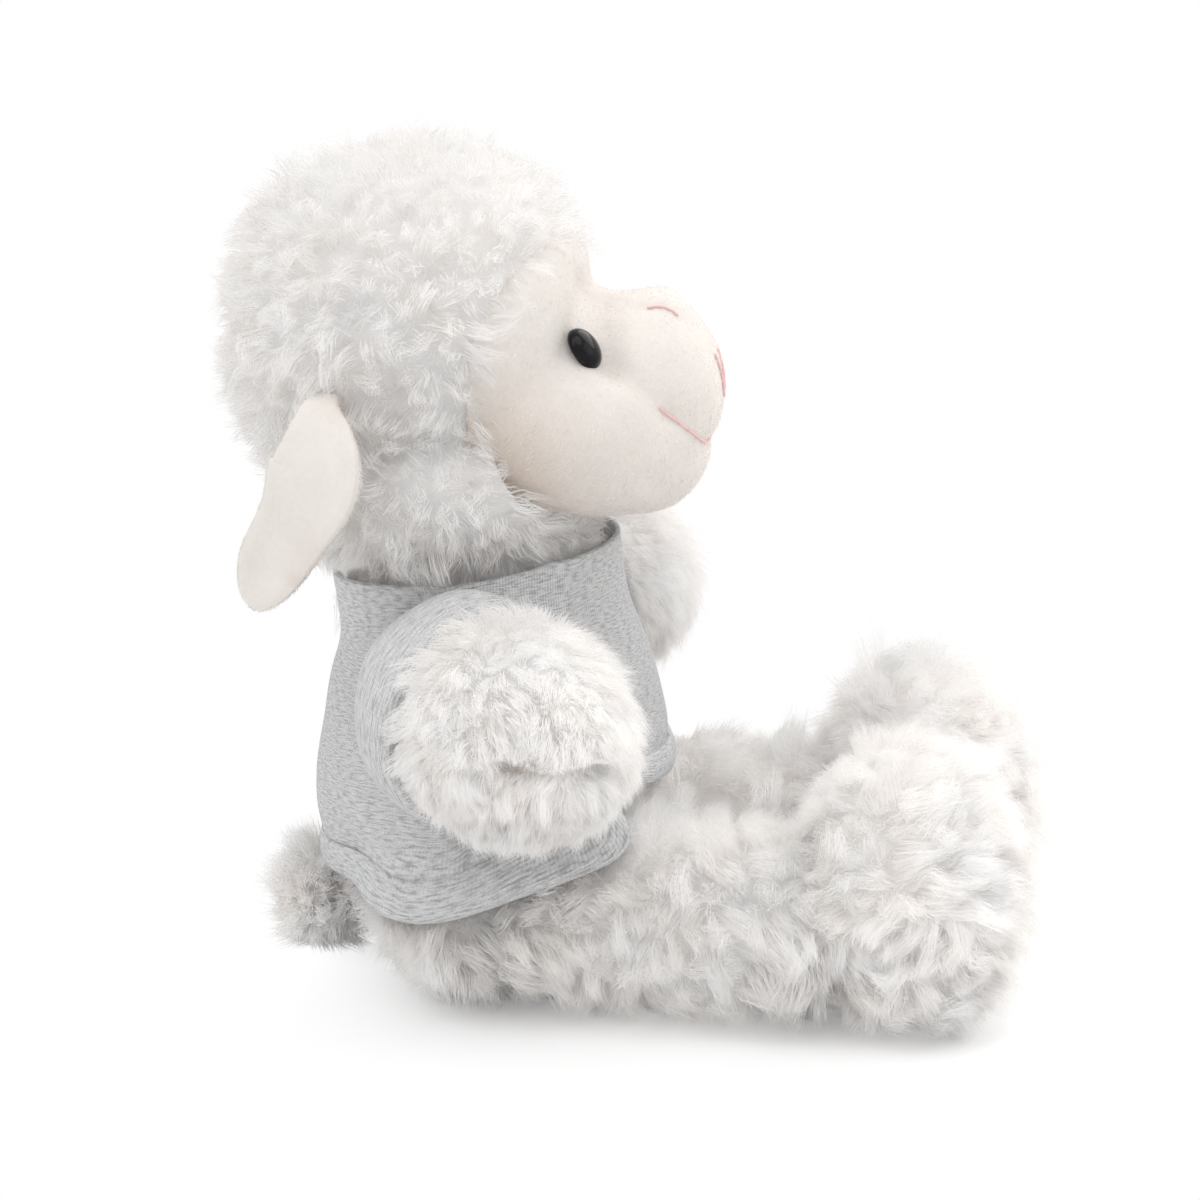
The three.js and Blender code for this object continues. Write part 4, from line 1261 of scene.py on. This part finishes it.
class LAMB_OT_embroidery(bpy.types.Operator):
    """Sews the nostrils, the line under the nose and the mouth"""

    bl_idname = "lamb.embroidery"
    bl_label = "Embroidery"

    MOUTH = [(-21.4, 44.3, 142.2), (-16.3, 49.8, 136.6), (-12, 53, 133.2), (-6, 55, 130.4), (0, 55.6, 129.6)]

    def execute(self, context):
        skin = tree_of(bpy.data.objects["face_stuffed"])
        mirrored = [(-x, f, z) for x, f, z in reversed(self.MOUTH[:-1])]
        nostril = [(-9.5, 42, 163.2), (-9, 45.5, 164), (-8.4, 48.5, 163.6), (-8.2, 51, 161.8)]
        nose = [(-3, 55.5, 151), (-1.8, 57.6, 145.5), (0, 58.8, 140), (1.8, 57.6, 145.5), (3, 55.5, 151)]
        lines = {
            "mouth_thread": (self.MOUTH + mirrored, "mouth_stitch"),
            "nose_thread": (nose, "nose_stitch"),
            "right_nostril_thread": (nostril, "right_nostril_stitch"),
            "left_nostril_thread": ([(-x, f, z) for x, f, z in nostril], "left_nostril_stitch"),
        }
        for name, (line, node) in lines.items():
            piece = self.sewn(name, [at(*point) for point in line], skin)
            dress(piece, "head", "pink_thread", "thread", node)
        return {"FINISHED"}

    def sewn(self, name, line, skin):
        """A row of short, slightly sunk stitches along a line on the skin."""
        run = sum((b - a).length for a, b in zip(line, line[1:]))
        stitches = max(3, round(run / (2.3 * MM)))
        bm = bmesh.new()
        for i in range(stitches):
            start, end = (self.on_skin(spline(line, (i + k) / stitches), skin) for k in (-0.06, 1.06))
            way = end[0] - start[0]
            made = bmesh.ops.create_uvsphere(bm, u_segments=10, v_segments=8, radius=1.0)
            bmesh.ops.scale(bm, verts=made["verts"], vec=(0.32 * MM, 0.32 * MM, way.length / 2))
            turn = way.to_track_quat("Z", "Y").to_matrix()
            bmesh.ops.rotate(bm, verts=made["verts"], cent=(0, 0, 0), matrix=turn)
            middle = (start[0] + end[0]) / 2 + start[1] * 0.35 * MM
            bmesh.ops.translate(bm, verts=made["verts"], vec=middle)
        return new_piece(name, bm)

    def on_skin(self, point, skin):
        """The skin's outer side at a place, and the way out of it."""
        out = (point - at(0, 20, 146)).normalized()
        near, normal, _, _ = skin.ray_cast(point + out * 20 * MM, -out, 0.06)
        if near is None:
            raise RuntimeError("a stitch misses the face")
        return near, normal


class LAMB_OT_ears(bpy.types.Operator):
    """Makes the two-leaved hanging ears"""

    bl_idname = "lamb.ears"
    bl_label = "Ears"

    def execute(self, context):
        fur = context.scene.lamb_fur
        for side in SIDES:
            for layer, (part, lift) in enumerate((("lining", 0.0), ("outer", EAR_PUFF))):
                leaf = self.leaf(f"{side}_ear_{part}_leaf", side, lift)
                dress(leaf, side + "_ear", "short_pile", "velboa", f"{side}_ear_{part}")
                sign = SIDES[side] * (1 if part == "outer" else -1)

                def faces_out(point, normal, sign=sign):
                    return normal.x * sign > -0.2

                def comb(roots, outward):
                    return np.repeat(np.array([[0, 0.2, -0.8]]), len(roots), axis=0)

                place = EARS[side]
                way = SIDES[side]
                # Real brownish stains near the tip, and painted shade at the root where the ear meets the fleece.
                darker_spots = [
                    (place + Vector((way * 9, 9.5, -38)) * MM, 2.2 * MM, 0.8),
                    (place + Vector((way * 10, 5, -31)) * MM, 5 * MM, 0.3),
                    (place + Vector((0, -4, 0)) * MM, 6 * MM, 0.9),
                ]

                def tint(roots, darker_spots=darker_spots):
                    return spotted(roots, darker_spots)

                toned(leaf, tint)
                nap = grown(
                    f"{side}_ear_{part}_nap", leaf, HAIRS["ear"], fur.nap_length * 1.1, NAP_WIDTH,
                    fur.seed + 20 + layer, "velboa", keep=faces_out, comb=comb, tint=tint, mottle=0.15, clump=8,
                    stand=0.35, **NAP_LIE,
                )
                dress(nap, side + "_ear", "short_pile", "velboa")
        return {"FINISHED"}

    def leaf(self, name, side, lift):
        sign = SIDES[side]
        root = EARS[side]
        spine = [root + Vector((sign * x, y, z)) * MM for x, y, z in EAR_SPINE]
        widths = [Vector((width * MM,) * 2) for width in EAR_WIDTHS]
        bm = grid(24, 48)
        for vert in bm.verts:
            share, along = vert.co.x * 2, 0.5 - vert.co.y
            tangent = (spline(spine, along + 0.01) - spline(spine, along - 0.01)).normalized()
            flare = AHEAD + Vector((sign * 0.4 * ease(along / 0.4), 0, 0))
            across = (flare - tangent * flare.dot(tangent)).normalized()
            normal = tangent.cross(across) * sign
            reach = spline(widths, along).x
            if along > 0.8:
                reach *= math.sqrt(max(0.0, 1 - ((along - 0.8) / 0.2) ** 2))
            cup = (1 - share * share) * reach * 0.16
            rim = math.exp(-(((1 - abs(share)) * reach / (1.2 * MM)) ** 2))
            level = lift - rim * (lift - 1.2 * MM) * 0.8
            vert.co = spline(spine, along) + across * (share * reach) + normal * (cup + level)
        bmesh.ops.recalc_face_normals(bm, faces=bm.faces)
        piece = new_piece(name, bm)
        facing = piece.data.polygons[len(piece.data.polygons) // 2].normal.x * sign
        if facing < 0:
            piece.data.flip_normals()
        return thickened(piece, EAR_THICKNESS, 1)


class LAMB_OT_torso(bpy.types.Operator):
    """Makes the stuffed body under the shirt"""

    bl_idname = "lamb.torso"
    bl_label = "Torso"

    def execute(self, context):
        fur = context.scene.lamb_fur
        bm = bmesh.new()
        stuffed(bm, TORSO, -3.5 * MM)
        skin = merged("torso_stuffed", bm, 2 * MM, 2)
        toned(skin, plain)
        dress(skin, "torso", "white_fur", "shag", "body_fur", "body_stuffing", "bean_bag")

        def seat(point, normal):
            return point.z < (34 + 20 * ease((-point.y / MM - 5) / 20)) * MM

        pile = grown(
            "torso_pile", skin, HAIRS["torso"], TORSO_PILE, fur.hair_width, fur.seed + 40, "shag",
            keep=seat, cloth=screen(), floor=PILE_FLOOR, **TORSO_LIE,
        )
        dress(pile, "torso", "white_fur", "shag")
        return {"FINISHED"}


class LAMB_OT_arms(bpy.types.Operator):
    """Makes the arms and their pile"""

    bl_idname = "lamb.arms"
    bl_label = "Arms"

    LIFTS = {"right": (0, 1.6, 3.4), "left": (0, 3, 6)}

    def execute(self, context):
        fur = context.scene.lamb_fur
        cloth = screen()
        for side in SIDES:
            bm = bmesh.new()
            stuffed(bm, arm_form(side), -2 * MM)
            ball(bm, SHOULDERS[side], 22.2 * MM)
            skin = merged(side + "_arm_stuffed", bm, 1.6 * MM, 3)
            for vert in skin.data.vertices:
                along = (vert.co - SHOULDERS[side]).dot(arm_aim(side)) / MM
                vert.co += Vector(self.LIFTS[side]) * MM * ease((along + 2) / 14)
            normals = [normal.vector.copy() for normal in skin.data.vertex_normals]
            for vert, normal in zip(skin.data.vertices, normals):
                near = self.from_slit(np.array([vert.co]))[0]
                vert.co -= normal * (2.6 * MM * math.exp(-((near / (2.4 * MM)) ** 2)))
            sign = SIDES[side]
            edge = SHOULDERS[side].x - sign * 8 * MM
            with edited(skin) as bm:
                cut = bmesh.ops.bisect_plane(
                    bm, geom=bm.verts[:] + bm.edges[:] + bm.faces[:], plane_co=(edge, 0, 0),
                    plane_no=(-sign, 0, 0), clear_outer=True)
                rim = [item for item in cut["geom_cut"] if isinstance(item, bmesh.types.BMEdge)]
                bmesh.ops.holes_fill(bm, edges=rim)
                bmesh.ops.recalc_face_normals(bm, faces=bm.faces)
            # Painted shade: the skin under the pile is a little darker, and beige in the paw's slit.
            toned(skin, lambda places: UNDER_PILE_SHADE * self.clear_of_slit(places, 2.2 * MM))
            dress(skin, side + "_arm", "white_fur", "shag", side + "_arm_fur", side + "_arm_stuffing")
            limit = SHOULDERS[side].x - sign * 7 * MM

            def outer(point, normal, sign=sign, limit=limit):
                return (point.x - limit) * sign > 0

            aim = np.array(arm_aim(side))
            start = np.array(SHOULDERS[side])

            def comb(roots, outward, aim=aim, start=start):
                along = (roots - start) @ aim / MM
                flow = np.zeros_like(roots)
                parted = np.where(roots[:, 2] > 74.5 * MM, 0.9, -0.3)
                flow[:, 2] = -0.5 + parted * (1 - self.clear_of_slit(roots, 3.5 * MM))
                return flow - aim * (0.8 * np.exp(-(((along - 6) / 7) ** 2)) - 0.2)[:, None]

            def longer(roots):
                return 0.5 + 0.5 * self.clear_of_slit(roots, 2.5 * MM)

            # Painted shade: the pile turns beige in the paw's slit, where the seam lies in shade.
            def tint(roots):
                return 0.15 + 0.85 * self.clear_of_slit(roots, 1.5 * MM)

            pile = grown(
                side + "_arm_pile", skin, HAIRS["arm"], fur.arm_length, fur.hair_width * 0.55, fur.seed + 50 + sign,
                "shag", keep=outer, comb=comb, longer=longer, tint=tint, cloth=cloth, **ARM_LIE,
            )
            dress(pile, side + "_arm", "white_fur", "shag")
        return {"FINISHED"}

    def clear_of_slit(self, places, reach):
        """How clear places are of the paw's slit: 0 in it, 1 well away from it."""
        return 1 - np.exp(-((self.from_slit(places) / reach) ** 2))

    def from_slit(self, places):
        """How far places are from the sewn slit across the end of their paw."""
        start, end = (np.array(at(*point)) for point in ((-87, 19, 75), (-81, 43, 74)))
        folded = places.copy()
        folded[:, 0] = -np.abs(folded[:, 0])
        share = np.clip((folded - start) @ (end - start) / ((end - start) @ (end - start)), 0, 1)
        return np.linalg.norm(folded - start - share[:, None] * (end - start), axis=1)


class LAMB_OT_legs(bpy.types.Operator):
    """Makes the legs and feet and their shaggy pile"""

    bl_idname = "lamb.legs"
    bl_label = "Legs"

    def execute(self, context):
        fur = context.scene.lamb_fur
        cloth = screen()
        for side, sign in SIDES.items():
            front = HIPS[side].y - 86 * MM

            def shaft(point, normal, front=front):
                return point.y > front

            bm = bmesh.new()
            stuffed(bm, leg_form(side), -5.5 * MM)
            ball(bm, HIPS[side], 18.5 * MM)
            leg = self.limb(bm, side, "leg", side + "_leg_fur", side + "_leg_stuffing")
            bm = bmesh.new()
            stuffed(bm, foot_form(side), -5.5 * MM)
            foot = self.limb(bm, side, "foot", side + "_foot_fur")
            self.shag(leg, side, "leg", fur.seed + 60 + sign, keep=shaft, cloth=cloth, press=9 * MM)
            self.shag(foot, side, "foot", fur.seed + 70 + sign)
        return {"FINISHED"}

    def limb(self, bm, side, part, *nodes):
        skin = merged(f"{side}_{part}_stuffed", bm, 1.8 * MM, 3)
        toned(skin, plain)
        dress(skin, side + "_leg", "white_fur", "puff", *nodes)
        return skin

    def shag(self, skin, side, part, seed, **limits):
        fur = bpy.context.scene.lamb_fur
        pile = grown(
            f"{side}_{part}_pile", skin, HAIRS["leg"], fur.leg_length, fur.hair_width * 0.62, seed, "puff",
            comb=self.comb, floor=PILE_FLOOR, **limits, **LEG_LIE,
        )
        dress(pile, side + "_leg", "white_fur", "puff")

    def comb(self, roots, outward):
        """Forwards and down."""
        return np.repeat(np.array([[0, -0.2, -0.28]]), len(roots), axis=0)


class LAMB_OT_tail(bpy.types.Operator):
    """Makes the round tail"""

    bl_idname = "lamb.tail"
    bl_label = "Tail"

    def execute(self, context):
        fur = context.scene.lamb_fur
        bm = bmesh.new()
        stuffed(bm, TAIL_FORM, -4 * MM)
        ball(bm, TAIL, 7 * MM)
        skin = merged("tail_stuffed", bm, 1.4 * MM, 3)
        toned(skin, plain)
        dress(skin, "tail", "white_fur", "puff", "tail")
        pile = grown(
            "tail_pile", skin, HAIRS["tail"], fur.arm_length, fur.hair_width * 0.6, fur.seed + 80, "puff",
            cloth=screen(), floor=PILE_FLOOR, **TAIL_LIE,
        )
        dress(pile, "tail", "white_fur", "puff")
        return {"FINISHED"}


class LAMB_PT_panel(bpy.types.Panel):
    """Lists the lamb's pieces in the sidebar"""

    bl_idname = "LAMB_PT_panel"
    bl_label = "Plush Lamb"
    bl_space_type = "VIEW_3D"
    bl_region_type = "UI"
    bl_category = "Lamb"

    def draw(self, context):
        layout = self.layout
        for group in (context.scene.lamb_fur, context.scene.lamb_colours):
            for name in group.bl_rna.properties.keys():
                if name not in {"rna_type", "name"}:
                    layout.prop(group, name)
        for operator in OPERATORS:
            layout.operator(operator.bl_idname)


OPERATORS = (
    LAMB_OT_stage, LAMB_OT_shirt, LAMB_OT_head, LAMB_OT_face, LAMB_OT_eyes, LAMB_OT_embroidery,
    LAMB_OT_ears, LAMB_OT_torso, LAMB_OT_arms, LAMB_OT_legs, LAMB_OT_tail,
)
CLASSES = (LambFur, LambColours, *OPERATORS, LAMB_PT_panel)


def register():
    for cls in CLASSES:
        bpy.utils.register_class(cls)
    bpy.types.Scene.lamb_fur = bpy.props.PointerProperty(type=LambFur)
    bpy.types.Scene.lamb_colours = bpy.props.PointerProperty(type=LambColours)


def unregister():
    del bpy.types.Scene.lamb_colours
    del bpy.types.Scene.lamb_fur
    for cls in reversed(CLASSES):
        bpy.utils.unregister_class(cls)


def main():
    register()
    bpy.ops.lamb.stage()
    bpy.ops.lamb.shirt()
    bpy.ops.lamb.head()
    bpy.ops.lamb.face()
    bpy.ops.lamb.eyes()
    bpy.ops.lamb.embroidery()
    bpy.ops.lamb.ears()
    bpy.ops.lamb.torso()
    bpy.ops.lamb.arms()
    bpy.ops.lamb.legs()
    bpy.ops.lamb.tail()


if __name__ == "__main__":
    main()
